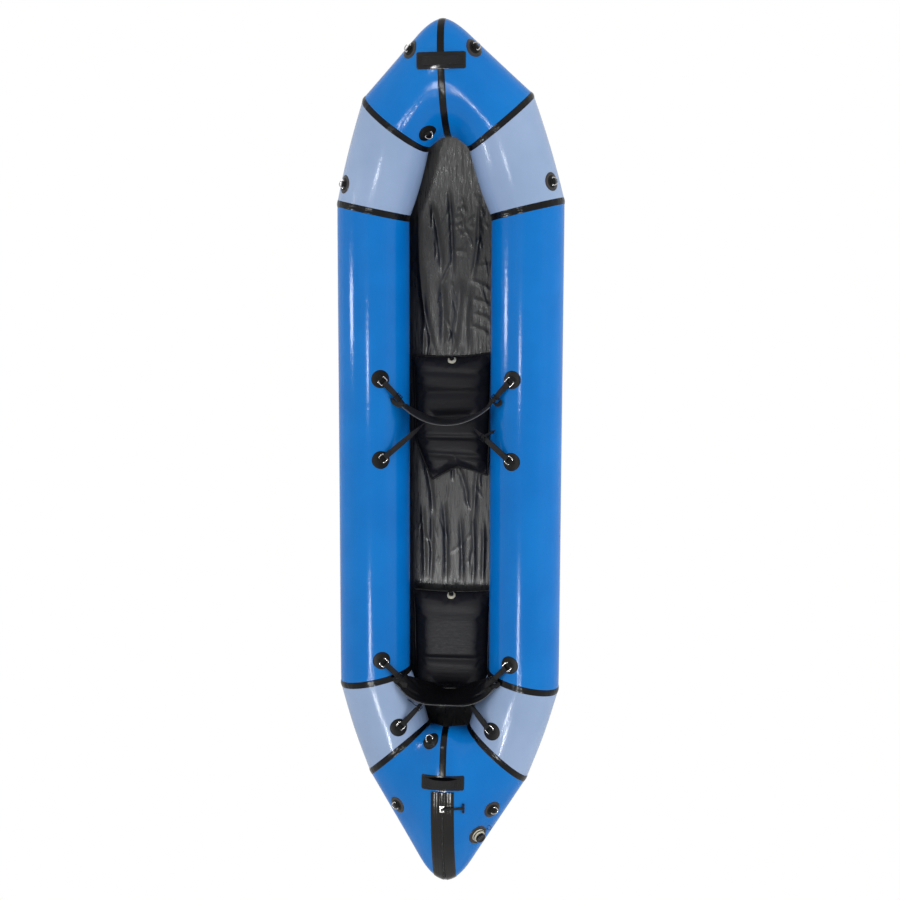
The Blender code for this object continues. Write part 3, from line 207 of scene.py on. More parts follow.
class Look(Nodes):
    """One material with a Principled shader."""

    def __init__(self, name):
        self.material = bpy.data.materials.new(name)
        self.material.use_nodes = True
        super().__init__(self.material.node_tree)
        self.shader = self.tree.nodes["Principled BSDF"]

    def set(self, **values):
        for name, value in values.items():
            self.join(value, self.shader.inputs[name.replace("_", " ")])


def seen_white(nodes, shader):
    """Plain white to the camera and through clear things, and the given shader to all other rays."""
    rays = nodes.tree.nodes.new("ShaderNodeLightPath").outputs
    camera_ray, clear_ray = (Value(nodes, rays[f"Is {kind} Ray"]) for kind in ("Camera", "Transmission"))
    mix = nodes.tree.nodes.new("ShaderNodeMixShader")
    white = nodes.node("Emission", Strength=1.0)
    for place, value in enumerate((camera_ray.math("MAXIMUM", clear_ray), Value(nodes, shader), white)):
        nodes.join(value, mix.inputs[place])
    return Value(nodes, mix.outputs[0])


# %% [markdown]
# ## The studio
# The world is a little brighter from the sides than from above. Each lamp is a rectangle that faces
# the boat: the plain ones light it, and the strips only show in its shine.

# %% World, floor and lamps
SKY_SIDE, SKY_TOP = 0.92, 0.66
STUDIO_HALF, STUDIO_Z, STUDIO_GREY = 9, -0.0005, 0.86
world = bpy.data.worlds.new("studio")
world.use_nodes = True
bpy.context.scene.world = world
studio = Nodes(world.node_tree)
sky = studio.tree.nodes["Background"]
sky.inputs["Color"].default_value = (1.0, 1.0, 1.0, 1.0)
upward = studio.split(studio.node("TexCoord"))[2]
studio.join(studio.range(upward, 0.0, 0.9, SKY_SIDE, SKY_TOP), sky.inputs["Strength"])
studio.join(seen_white(studio, sky.outputs[0]), studio.tree.nodes["World Output"].inputs["Surface"])

floor_look = Look("studio_floor")
floor_look.set(Base_Color=(STUDIO_GREY, STUDIO_GREY, STUDIO_GREY, 1.0), Roughness=0.9)
floor_look.join(seen_white(floor_look, floor_look.shader.outputs[0]),
                floor_look.tree.nodes["Material Output"].inputs["Surface"])
studio_mesh = bpy.data.meshes.new("studio_floor")
studio_mesh.from_pydata([(x * STUDIO_HALF, y * STUDIO_HALF, STUDIO_Z)
                         for x, y in ((-1, -1), (1, -1), (1, 1), (-1, 1))], [], [(0, 1, 2, 3)])
studio_mesh.materials.append(floor_look.material)
new_object("studio_floor", studio_mesh)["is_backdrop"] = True


def lamp(name, place, towards, size, watts, strip=False):
    """A rectangular lamp that faces a point. A strip is only seen in reflections, a plain lamp never."""
    light = bpy.data.lights.new(name, "AREA")
    light.shape, light.size, light.size_y = "RECTANGLE", size[0], size[1]
    light.energy = watts
    obj = new_object(name, light)
    obj.location = place
    ahead = (Vector(towards) - Vector(place)).normalized()
    side = ahead.cross(Vector((0, 1, 0))).normalized()
    along = side.cross(ahead)
    obj.rotation_euler = Matrix((side, along, -ahead)).transposed().to_euler()
    obj.visible_glossy, obj.visible_diffuse = strip, not strip


# name, place, point it faces, width and length in metres, power in watts
lamp("key", (-1.6, 1.6, 3.8), (0, 0.2, 0.2), (2.0, 2.6), 20)
lamp("fill", (3.0, 0.4, 1.9), (-0.1, 0.1, 0.2), (1.6, 3.6), 27)
lamp("left_strip", (-2.5, 0.66, 1.32), (-0.2, 0.6, 0.2), (0.46, 0.42), 22, strip=True)
lamp("top_strip", (-0.78, 0.34, 3.3), (0, 0.33, 0.2), (0.30, 0.34), 14, strip=True)
lamp("rear_strip", (-0.62, -1.50, 3.3), (0, -0.7, 0.2), (0.34, 0.62), 24, strip=True)
lamp("stern_strip", (-0.16, -2.05, 3.0), (0.0, -1.0, 0.3), (0.20, 0.55), 25, strip=True)
print("world, floor and 6 lamps")

# %% [markdown]
# ## The tubes' shape
# An inflated tube is round wherever nothing holds it, so its shape follows a rule: sections at the
# seams, and skins stretched between them. The same sections as the CAD model's are worked out here
# with many more points. The ends are tall ovals on the centreline, and the fabric bends over them
# in a blunt nose.

# %% Sizes of the hull, as in the CAD
AROUND = 192
TUBE = 0.140
FLOOR_THICK, CAD_TAPE, GAP = 0.0016, 0.0010, 0.0003
SIDE_X, SIDE_LENGTH, SEAM_ANGLE = 0.300, 1.850, radians(12.4)
CORNER_X, CORNER_WIDE, CORNER_HIGH = 0.198, 0.155, 0.137
END_HIGH, SWELL, NOSE_ROUND = 0.135, 0.006, 0.055
AXIS_Z = FLOOR_THICK + GAP + CAD_TAPE + GAP + TUBE
TAPE_WIDE = 0.026
ENDS = {
    "bow": dict(sign=1, shoulder=0.320, nose=0.140, corner_rise=0.062, rise=0.142, tilt=radians(36),
                angle=radians(39), long=0.220, tip=0.085),
    "stern": dict(sign=-1, shoulder=0.295, nose=0.196, corner_rise=0.012, rise=0.084, tilt=radians(-5),
                  angle=radians(41), long=0.320, tip=0.090),
}


def reach(end):
    """How far an end reaches from the middle of the side tubes."""
    return (SIDE_LENGTH / 2 + end["shoulder"] + end["nose"]
            + hypot(end["long"] * cos(end["tilt"]), END_HIGH * sin(end["tilt"])))


SIDES_Y = (reach(ENDS["stern"]) - reach(ENDS["bow"])) / 2


def full_turn(count):
    """Even angles round a circle."""
    return np.arange(count) * 2 * pi / count


def oval(long, short, tip, count):
    """A four-centred oval with its points closer together on the small arcs."""
    flat = ((long - tip) ** 2 + short ** 2 - tip ** 2) / (2 * (short - tip))
    joint = acos((long - tip) / (flat - tip))
    low, high = np.linspace(0, joint, 400), np.linspace(joint, pi / 2, 400)[1:]
    x = np.concatenate([long - tip + tip * np.cos(low), flat * np.cos(high)])
    z = np.concatenate([tip * np.sin(low), short - flat + flat * np.sin(high)])
    turn = np.concatenate([low, high])
    length = np.concatenate([[0], np.cumsum(np.hypot(np.diff(x), np.diff(z)))])
    measure = length / length[-1] + turn / turn[-1]
    quarter = np.linspace(0, measure[-1], count // 4 + 1)
    qx, qz = np.interp(quarter, measure, x), np.interp(quarter, measure, z)
    return (np.concatenate([qx[:-1], -qx[:0:-1], -qx[:-1], qx[:0:-1]]),
            np.concatenate([qz[:-1], qz[:0:-1], -qz[:-1], -qz[:0:-1]]))


def sections(end):
    """Side seam, corner and centreline sections of the right-hand half."""
    sign, turn = end["sign"], full_turn(AROUND)
    seam = np.array([SIDE_X, SIDES_Y + sign * SIDE_LENGTH / 2, AXIS_Z])
    corner = np.array([CORNER_X, seam[1] + sign * end["shoulder"], AXIS_Z + end["corner_rise"]])
    centre = np.array([0, corner[1] + sign * end["nose"], AXIS_Z + end["rise"]])
    one = atan2(corner[2] - seam[2], hypot(*(corner - seam)[:2]))
    two = atan2(centre[2] - corner[2], hypot(*(centre - corner)[:2]))

    def leaning(middle, angle, lean, wide, high):
        outward = np.array([cos(angle), sign * sin(angle), 0])
        ahead = np.array([-sin(angle), sign * cos(angle), 0])
        up = np.array([0, 0, cos(lean)]) - ahead * sin(lean)
        return middle + np.outer(np.cos(turn) * wide, outward) + np.outer(np.sin(turn) * high, up)

    first = leaning(seam, SEAM_ANGLE, one / 2, TUBE / cos(SEAM_ANGLE), TUBE / cos(one / 2))
    last = leaning(corner, end["angle"], (one + two) / 2, CORNER_WIDE, CORNER_HIGH)
    out = np.array([0, sign * cos(end["tilt"]), sin(end["tilt"])])
    up = np.array([0, -sign * sin(end["tilt"]), cos(end["tilt"])])
    xs, zs = oval(end["long"], END_HIGH, end["tip"], AROUND)
    return first, last, centre + np.outer(xs, out) + np.outer(zs, up)


SECTIONS = {name: sections(end) for name, end in ENDS.items()}
NOSE_STRAIGHT = 0.80


def swollen(ring, share):
    """A ring of a shoulder, which bulges most at half its length."""
    outward = ring - ring.mean(axis=0)
    return ring + outward / np.linalg.norm(outward, axis=1)[:, None] * SWELL * sin(pi * share)


def shoulder_place(name, share):
    """A ring of a shoulder, with the side seam at 0 and the corner at 1."""
    first, last, _ = SECTIONS[name]
    return swollen(first + (last - first) * share, share)


def nose_place(name, share):
    """Corner at 0, start of the rounding at NOSE_STRAIGHT, centreline at 1."""
    _, last, middle = SECTIONS[name]
    bluntness = 0.52 + 0.48 * np.cos(full_turn(AROUND) - pi / 3)
    control = middle + np.outer(NOSE_ROUND * bluntness, (1, 0, 0))
    if share <= NOSE_STRAIGHT:
        return last + (control - last) * share
    start = last + (control - last) * NOSE_STRAIGHT
    t = (share - NOSE_STRAIGHT) / (1 - NOSE_STRAIGHT)
    return start * (1 - t) ** 2 + control * 2 * t * (1 - t) + middle * t ** 2


def side_place(_, share):
    """A ring of a side tube, with the stern at 0 and the bow at 1."""
    return SECTIONS["stern"][0] * (1 - share) + SECTIONS["bow"][0] * share


PANELS = {"side_tube": (side_place, "bow", 72)}
for name in ENDS:
    PANELS[f"{name}_shoulder"] = (shoulder_place, name, 34)
    PANELS[f"{name}_panel"] = (nose_place, name, 60)
MIRROR = np.array([-1, 1, 1])


def panel_rings(panel, flip):
    """All rings of a panel, for the left side when flipped."""
    place, name, count = PANELS[panel]
    shares = np.linspace(0, 1, count + 1)
    rings = np.array([place(name, share) for share in shares])
    return rings * MIRROR if flip else rings


def walked(points):
    """Distance from the first point of a line, or from the first ring of a panel."""
    steps = np.linalg.norm(np.diff(points, axis=0), axis=-1)
    return np.concatenate([np.zeros((1, *steps.shape[1:])), np.cumsum(steps, axis=0)])


def grid_piece(name, rows, look, closed=True, uv=None, flip=False, caps=False):
    """A skin over rows of points. It closes round each row unless told not to."""
    rows = np.asarray(rows)
    stations, count = rows.shape[:2]
    wrap = count if closed else count - 1
    faces = []
    for i in range(stations - 1):
        for k in range(wrap):
            n = (k + 1) % count
            loop = (i * count + k, (i + 1) * count + k, (i + 1) * count + n, i * count + n)
            faces.append(loop[::-1] if flip else loop)
    if caps:
        first = range(wrap)
        last = range((stations - 1) * count, (stations - 1) * count + wrap)
        faces += [tuple(first[::-1] if flip else first), tuple(last if flip else last[::-1])]
    mesh = bpy.data.meshes.new(name)
    mesh.from_pydata(rows.reshape(-1, 3).tolist(), [], faces)
    if uv is not None:
        layer = mesh.uv_layers.new(name="cloth")
        corners = np.empty(len(mesh.loops), np.int64)
        mesh.loops.foreach_get("vertex_index", corners)
        flat = np.asarray(uv).reshape(-1, 2)[corners]
        layer.data.foreach_set("uv", flat.astype(np.float32).ravel())
    mesh.polygons.foreach_set("use_smooth", np.ones(len(mesh.polygons), bool))
    mesh.materials.append(look.material)
    weld = bmesh.new()
    weld.from_mesh(mesh)
    bmesh.ops.remove_doubles(weld, verts=weld.verts, dist=1e-6)
    if not any(edge.is_boundary for edge in weld.edges) and weld.calc_volume(signed=True) < 0:
        bmesh.ops.reverse_faces(weld, faces=weld.faces)
    weld.to_mesh(mesh)
    weld.free()
    return new_object(name, mesh)


print("hull reaches from", round(SIDES_Y - reach(ENDS["stern"]), 4),
      "to", round(SIDES_Y + reach(ENDS["bow"]), 4))

# %% [markdown]
# ## Coated fabric
# The tubes are nylon with a thick, shiny polyurethane coat. Three things make it read as cloth and
# not as plastic: a slight change of colour over a hand's width, a very fine weave, and a shallow
# unevenness that frays the edges of the long highlights. The pattern lies on the piece's own UV
# map, which is in metres, so the weave has its real size.


# %% Coated fabric material
WEAVE_DEPTH, WEAVE_THREADS, SHEET_WAVES = 0.000004, 1500.0, 6300.0


def coated_fabric(name, dark, light, rough, ripple=0.0006, shine=0.25):
    """Cloth with a glossy coat: slow colour changes, threads and a shallow ripple."""
    look = Look(name)
    flat = look.node("UVMap", {"uv_map": "cloth"})
    where = look.node("TexCoord", output=3)
    broad, fine = look.noise(where, 5.0, 3.0), look.noise(where, 160.0, 2.0)
    look.set(Base_Color=look.mixed(look.range(broad, 0.35, 0.65, 0.0, 1.0), dark, light))
    look.set(Roughness=look.range(fine, 0.3, 0.7, rough - 0.04, rough + 0.06))
    across, along, _ = look.split(flat)
    threads = (across * WEAVE_THREADS * 2 * pi).wave() * (along * WEAVE_THREADS * 2 * pi).wave()
    uneven = look.noise(look.stretched(flat, (3.0, 26.0, 1.0)), 2.0, 4.0, 0.6)
    weave = look.bump(threads, WEAVE_DEPTH)
    look.set(Normal=look.bump(uneven, ripple, Normal=weave), Specular_IOR_Level=shine)
    return look


blue = coated_fabric("blue_coated_fabric", (0.002, 0.180, 0.595, 1), (0.003, 0.203, 0.645, 1), 0.13,
                     shine=0.20)
pale = coated_fabric("pale_coated_fabric", (0.310, 0.426, 0.640, 1), (0.352, 0.470, 0.695, 1), 0.15)
tape_look = coated_fabric("black_seam_tape", (0.003, 0.003, 0.004, 1), (0.007, 0.007, 0.008, 1), 0.20,
                          shine=0.22)
print("coated fabrics:", blue.material.name, pale.material.name, tape_look.material.name)

# %% [markdown]
# ## The ten hull panels
# A welded seam holds the fabric a little shorter than the skin beside it wants to be, so fine
# puckers run away from every seam and die out within a few centimetres. They are pressed inwards
# only, so that tapes and patches stay on top.


# %% Puckers and panels
PUCKER_DEPTH, PUCKER_FADE, PUCKER_START = 0.0010, 0.030, 0.012
SLOW_DEPTH = 0.0002


def pucker_strength(turns, seed):
    """How deep the pucker is at each angle: a fixed mix of waves."""
    mix = np.random.default_rng(seed)
    total = np.zeros_like(turns)
    for count in (17, 23, 31, 38, 47):
        total += mix.uniform(0.4, 1.0) * np.sin(count * turns + mix.uniform(0, 2 * pi))
    return np.clip(total / 2.2, -1, 1)


def puckered(rings, seed):
    """Presses puckers into a panel, deepest beside its two seams."""
    turns, start = full_turn(rings.shape[1]), walked(rings)
    outward = rings - rings.mean(axis=1, keepdims=True)
    outward /= np.linalg.norm(outward, axis=2, keepdims=True)
    press = np.zeros(start.shape)
    for number, away in enumerate((start, start[-1] - start)):
        wave = (pucker_strength(turns, seed + number) - 1) / 2
        press += wave * np.exp(-np.abs(away - PUCKER_START) / PUCKER_FADE)
    slow = np.sin(2 * turns + seed) * np.sin(3 * pi * start / start[-1].max()) - 1
    return rings + outward * (press * PUCKER_DEPTH + slow * SLOW_DEPTH)[..., None]


def cloth_map(rings):
    """UV in metres: round the tube, then along it."""
    around = np.linalg.norm(rings - np.roll(rings, 1, axis=1), axis=2).mean()
    u = np.broadcast_to(np.arange(rings.shape[1]) * around, rings.shape[:2])
    run = np.linalg.norm(np.diff(rings, axis=0), axis=2).mean(axis=1)
    v = np.broadcast_to(np.concatenate([[0], np.cumsum(run)])[:, None], rings.shape[:2])
    return np.stack([u, v], axis=2)


def close_ring(rows):
    """Repeats the first point of each row, so the UV map has a seam of its own."""
    return np.concatenate([rows, rows[:, :1]], axis=1)


HULL, hull_points, hull_faces = {}, [], []
for panel in PANELS:
    for side, flip in (("left", True), ("right", False)):
        rings = puckered(panel_rings(panel, flip), seed=len(HULL) * 7)
        HULL[panel, side] = rings
        rows = close_ring(rings)
        uv = cloth_map(rows)
        backwards = flip == (not panel.startswith("stern"))
        look = pale if "shoulder" in panel else blue
        obj = grid_piece(f"{panel}_{side}_skin", rows, look, closed=False, uv=uv, flip=backwards)
        ride_on(obj, "hull", "shoulder_pale" if "shoulder" in panel else "hull_blue", f"{panel}_{side}")
        count = len(hull_points)
        hull_points += rows.reshape(-1, 3).tolist()
        hull_faces += [tuple(count + v for v in face.vertices) for face in obj.data.polygons]
skin_tree = BVHTree.FromPolygons(hull_points, hull_faces)
print("hull skins:", len(HULL), "with", len(hull_faces), "fields")


def unit(vector):
    """A vector's direction, with a length of 1."""
    return np.asarray(vector, float) / np.linalg.norm(vector)


def laid(place, normal, height, start=0.06):
    """The point over the skin that lies under a place, seen along a normal."""
    hit, facing = skin_tree.ray_cast(Vector(place + normal * start), Vector(-normal))[:2]
    if hit is None:
        return np.asarray(place)
    facing = np.array(facing) * (1 if np.dot(facing, normal) > 0 else -1)
    return np.array(hit) + facing * height


# %% [markdown]
# ## Tape over every seam
# Each seam is covered by a black tape 26 mm wide. It follows the panels' own points by the distance
# from the seam, stands a little off the fabric, and its edges turn down into it, which is where the
# tape catches the light.

# %% Seam tapes
# share of the half width, and height in tape heights, from one edge to the other
TAPE_STEPS = ((-1.0, -0.3), (-0.97, 0.45), (-0.86, 0.85), (-0.5, 1.0), (-0.2, 1.05), (0.0, 1.0),
              (0.2, 1.05), (0.5, 1.0), (0.86, 0.85), (0.97, 0.45), (1.0, -0.3))
TAPE_HIGH = 0.0011


def along_meridians(rings, distance):
    """Points at a distance from a panel's first ring, measured along the panel."""
    start = walked(rings)
    return np.array([[np.interp(distance, start[:, k], rings[:, k, axis]) for axis in range(3)]
                     for k in range(rings.shape[1])])


def grid_normals(rows):
    """Directions at right angles to a closed grid, at each of its points."""
    around = np.roll(rows, -1, axis=1) - np.roll(rows, 1, axis=1)
    normal = np.cross(np.gradient(rows, axis=0), around)
    return normal / np.linalg.norm(normal, axis=2, keepdims=True)


def tape_rows(panel_a, panel_b):
    """Rows of a tape over the seam between two panels, given as rings that start at the seam."""
    rows = np.array([along_meridians(panel_a if share < 0 else panel_b, abs(share) * TAPE_WIDE / 2)
                     for share, _ in TAPE_STEPS])
    normal = grid_normals(rows)
    outward = rows - rows.mean(axis=1, keepdims=True)
    normal *= np.sign((normal * outward).sum(axis=2).mean())
    lift = np.array([rise for _, rise in TAPE_STEPS]) * TAPE_HIGH
    ripple = pucker_strength(full_turn(rows.shape[1]), len(rows)) * SLOW_DEPTH
    return rows + normal * (lift[:, None] + ripple[None, :] * (lift > 0)[:, None])[..., None]


def outward_flip(rows):
    """Whether a grid's faces have to be turned round to face away from its middle."""
    normal = grid_normals(rows)
    outward = rows - rows.reshape(-1, 3).mean(axis=0)
    return (normal * outward).sum() > 0


def tape_piece(name, rows, keep=None):
    """A tape as a piece of its own. keep lists the columns that are left of it."""
    rows = close_ring(rows)
    uv = cloth_map(rows)
    flip = outward_flip(rows)
    if keep is not None:
        rows, uv = rows[:, keep], uv[:, keep]
    ride_on(grid_piece(f"{name}_cover", rows, tape_look, closed=False, uv=uv, flip=flip),
            "hull", "tape_black", name)


for side in ("left", "right"):
    tube = HULL["side_tube", side]
    for name in ENDS:
        shoulder, nose = HULL[f"{name}_shoulder", side], HULL[f"{name}_panel", side]
        ending = tube[::-1] if name == "bow" else tube
        tape_piece(f"{name}_side_tape_{side}", tape_rows(ending, shoulder))
        tape_piece(f"{name}_corner_tape_{side}", tape_rows(shoulder[::-1], nose))
ZIP_START, ZIP_HALF = 0.112, 0.0455


def oval_frame(name):
    """Middle of an end's oval with its outward and upward directions."""
    ring = SECTIONS[name][2]
    middle = (ring[0] + ring[AROUND // 2]) / 2
    return middle, unit(ring[0] - middle), unit(ring[AROUND // 4] - middle)


for name in ENDS:
    rows = tape_rows(HULL[f"{name}_panel", "left"][::-1], HULL[f"{name}_panel", "right"][::-1])
    keep = None
    if name == "stern":
        middle, out, up = oval_frame("stern")
        ring = close_ring(rows)[len(TAPE_STEPS) // 2] - middle
        free = (ring @ out < -ZIP_START) | (ring @ up < 0)
        first = int(np.argmax(~free[:-1] & free[1:])) + 1
        keep = np.array([k % AROUND for k in range(first, first + AROUND) if free[k % AROUND]])
    tape_piece(f"{name}_centre_tape", rows, keep)
print("tapes: 10, standing", TAPE_HIGH * 1000, "mm off the fabric")

# %% [markdown]
# ## The floor sheet
# The floor is a heavy sheet that the two ends and the seats pull in several directions, so it lies in
# long creases that run along the boat. Each crease is a soft ridge along a slightly bent line, with
# its own height, width and length, and they only lift the sheet, because it lies on the ground.


# %% Floor sheet
def coated_sheet():
    """Painted shade beside the tubes and towards the bow, with fine scuffs along the boat."""
    look = Look("floor_coated_fabric")
    where = look.node("TexCoord", output=3)
    broad = look.noise(look.stretched(where, (3.0, 0.8, 1.0)), 3.0, 3.0)
    x, y, _ = look.split(where)
    # Painted shade: the sheet's colour is darkened beside the tubes and towards the bow.
    from_side = x.math("ABSOLUTE") + look.range(y, 0.72, 1.12, 0.0, 0.125)
    lit_share = look.range(from_side, 0.105, 0.145, 1.0, 0.0)
    shade = look.range(broad, 0.35, 0.70, 0.0, 1.0) * lit_share
    base = look.mixed(lit_share, (0.003, 0.003, 0.004, 1), (0.009, 0.009, 0.010, 1))
    look.set(Base_Color=look.mixed(shade, base, (0.023, 0.023, 0.025, 1)))
    scuff = look.noise(look.stretched(where, (60.0, 9.0, 1.0)), 3.0, 4.0, 0.6)
    look.set(Roughness=look.range(scuff, 0.35, 0.75, 0.26, 0.50))
    across, along, _ = look.split(look.node("UVMap", {"uv_map": "cloth"}))
    weave = look.bump((across * SHEET_WAVES).wave() * (along * SHEET_WAVES).wave(), WEAVE_DEPTH)
    grain = look.noise(look.stretched(where, (40.0, 6.0, 1.0)), 2.0, 4.0)
    look.set(Normal=look.bump(grain, 0.0015, Normal=weave), Specular_IOR_Level=0.6)
    return look


floor_fabric = coated_sheet()
cad_floor = frame["nodes"]["floor"]
floor_corners = {}
for vertex in cad_floor.data.vertices:
    x, y, z = vertex.co
    if x >= 0:
        row = floor_corners.setdefault(round(y, 4), [0.0, 0.0])
        row[0], row[1] = max(row[0], x), max(row[1], z)
FLOOR_Y = np.array(sorted(floor_corners))
FLOOR_X, FLOOR_Z = np.array([floor_corners[y] for y in FLOOR_Y.tolist()]).T
COCKPIT_HALF = 0.150

# start x and y, end x and y, width, height and sideways bend of each long crease
LONG_CREASES = [
    (-0.15, 1.0, -0.082, 0.47, 0.011, 0.0085, -0.02),
    (-0.087, 1.03, -0.052, 0.79, 0.01, 0.006, 0.006),
    (-0.022, 1.11, -0.006, 0.78, 0.008, 0.006, 0.004),
    (-0.048, 0.72, -0.045, 0.48, 0.016, 0.006, 0.004),
    (0.024, 0.73, -0.001, 0.48, 0.019, 0.007, 0.006),
    (-0.12, 0.76, -0.125, 0.48, 0.01, 0.004, 0.004),
    (0.062, 0.7, 0.052, 0.48, 0.014, 0.0045, -0.006),
    (0.098, 1.02, 0.075, 0.76, 0.009, 0.005, 0.008),
    (-0.006, 0.855, 0.05, 0.853, 0.0035, 0.004, 0.0),
    (0.074, 0.738, 0.15, 0.7, 0.006, 0.0042, 0.003),
    (0.08, 0.664, 0.15, 0.64, 0.006, 0.004, 0.003),
    (0.084, 0.604, 0.15, 0.584, 0.005, 0.0036, 0.003),
    (0.09, 0.792, 0.15, 0.802, 0.005, 0.0036, 0.002),
    (0.07, 0.558, 0.14, 0.528, 0.006, 0.0036, 0.003),
    (-0.135, 0.06, -0.085, -0.2, 0.01, 0.006, 0.012),
    (-0.01, 0.07, -0.004, -0.06, 0.006, 0.005, 0.003),
    (0.01, 0.0, 0.06, -0.17, 0.011, 0.005, 0.01),
    (0.11, 0.05, 0.086, -0.21, 0.01, 0.005, -0.006),
    (-0.13, -0.18, -0.118, -0.48, 0.01, 0.0055, 0.004),
    (-0.088, -0.22, -0.094, -0.48, 0.009, 0.005, 0.003),
    (-0.04, -0.16, -0.03, -0.48, 0.011, 0.006, 0.005),
    (0.028, -0.23, 0.036, -0.48, 0.009, 0.0055, 0.003),
    (0.078, -0.2, 0.082, -0.48, 0.01, 0.0055, 0.004),
    (0.124, -0.25, 0.12, -0.48, 0.009, 0.005, 0.002),
]


def small_creases(count, low, high, lean, long):
    """Short creases in a rectangle, each turned by up to lean away from the boat's length."""
    made = []
    for _ in range(count):
        x, y = chance.uniform(low[0], high[0]), chance.uniform(low[1], high[1])
        turn, run = chance.uniform(-lean, lean), chance.uniform(*long)
        made.append((x, y, x + run * sin(turn), y - run * cos(turn), chance.uniform(0.003, 0.006),
                     chance.uniform(0.0012, 0.0030), chance.uniform(-0.004, 0.004)))
    return made


CREASES = LONG_CREASES + small_creases(26, (0.015, 0.86), (0.125, 1.08), 1.4, (0.015, 0.045))
CREASES += small_creases(16, (-0.13, 0.50), (0.13, 1.05), 0.5, (0.04, 0.12))
CREASES += small_creases(18, (-0.13, -0.40), (0.13, 0.06), 0.9, (0.03, 0.09))


def creased(x, y):
    """Height that the creases add at a place."""
    total = np.zeros_like(x)
    for x0, y0, x1, y1, wide, high, bend in CREASES:
        long = hypot(x1 - x0, y1 - y0)
        run, side = ((x1 - x0) / long, (y1 - y0) / long), ((y0 - y1) / long, (x1 - x0) / long)
        along = ((x - x0) * run[0] + (y - y0) * run[1]) / long * 2 - 1
        off = (x - x0) * side[0] + (y - y0) * side[1] - bend * (1 - np.minimum(along ** 2, 1.5))
        total += high * np.exp(-np.abs(off / wide) ** 1.7 - np.abs(along) ** 6)
    fade = np.clip((COCKPIT_HALF - np.abs(x)) / 0.02, 0, 1)
    ends = np.clip((1.12 - y) / 0.10, 0, 1) * np.clip((y + 1.02) / 0.12, 0, 1)
    return total * fade * ends


OPEN_SHARE, SHEET_LIFT = 0.62, 0.0002
across = np.concatenate([[-1.0, -0.8], np.linspace(-OPEN_SHARE, OPEN_SHARE, 101), [0.8, 1.0]])
stations = np.linspace(FLOOR_Y[0] + 0.0005, FLOOR_Y[-1] - 0.0005, 380)
rows = []
for y in stations:
    edge = max(np.interp(y, FLOOR_Y, FLOOR_X), 0.0008)
    open_half = min(edge, COCKPIT_HALF / OPEN_SHARE)
    bend = OPEN_SHARE * open_half
    beside = bend + (np.abs(across) - OPEN_SHARE) / (1 - OPEN_SHARE) * (edge - bend)
    x = np.where(np.abs(across) <= OPEN_SHARE, across * open_half, np.sign(across) * beside)
    spread = min(0.09, y - FLOOR_Y[0], FLOOR_Y[-1] - y)
    base = np.interp(y + np.linspace(-spread, spread, 9), FLOOR_Y, FLOOR_Z).mean()
    rows.append(np.stack([x, np.full_like(x, y), np.full_like(x, base)], axis=1))
rows = np.array(rows)
lift = creased(rows[..., 0], rows[..., 1])
rows[..., 2] += lift + SHEET_LIFT * (lift > 0)
under = rows.copy()
under[..., 2] -= FLOOR_THICK + lift + SHEET_LIFT * (lift > 0)
under[..., 2] = np.maximum(under[..., 2], 0.0)
loop = np.concatenate([rows, under[:, ::-1]], axis=1)
below = np.arange(loop.shape[1]) >= rows.shape[1]
flat = np.stack([loop[..., 0] + below * 1.0, loop[..., 1]], axis=2)
floor_cover = grid_piece("floor_sheet", close_ring(loop), floor_fabric, closed=False,
                         uv=close_ring(flat), flip=True)
ride_on(floor_cover, "hull", "floor_black", "floor")
print("floor sheet:", len(floor_cover.data.polygons), "fields,", len(CREASES), "creases")

# %% [markdown]
# ## Where the patches are
# A patch is bonded flat to the tube, and everything on it is placed by its own four directions: out of
# the fabric, across the ring, along the strap, and the point where it all meets. They are found on the
# same coarse facets as in the CAD, so that the new rings lie where the old ones turn.

# %% Frames of the patches
COARSE_AROUND = 24
COARSE = slice(None, None, AROUND // COARSE_AROUND)
COARSE_RUNS = {"side_tube": [SECTIONS["stern"][0][COARSE], SECTIONS["bow"][0][COARSE]]}
for name in ENDS:
    ends = [shoulder_place(name, share)[COARSE] for share in (0, 1)]
    COARSE_RUNS[f"{name}_shoulder"] = [ends[0], swollen((ends[0] + ends[1]) / 2, 0.5), ends[1]]
    COARSE_RUNS[f"{name}_panel"] = [nose_place(name, share)[COARSE] for share in (0, 0.4, 0.8, 0.9, 1.0)]


def ring_skin(rings):
    """Triangles over coarse rings, split along the shorter diagonals."""
    grid = np.array(rings)
    count = grid.shape[1]
    triangles = []
    for i in range(len(grid) - 1):
        for k in range(count):
            n = (k + 1) % count
            a, b, c, d = i * count + k, (i + 1) * count + k, (i + 1) * count + n, i * count + n
            one, two = grid[i, k] - grid[i + 1, n], grid[i + 1, k] - grid[i, n]
            shorter = np.linalg.norm(one) < np.linalg.norm(two)
            triangles += [(a, b, c), (a, c, d)] if shorter else [(a, b, d), (b, c, d)]
    return BVHTree.FromPolygons(grid.reshape(-1, 3).tolist(), triangles)


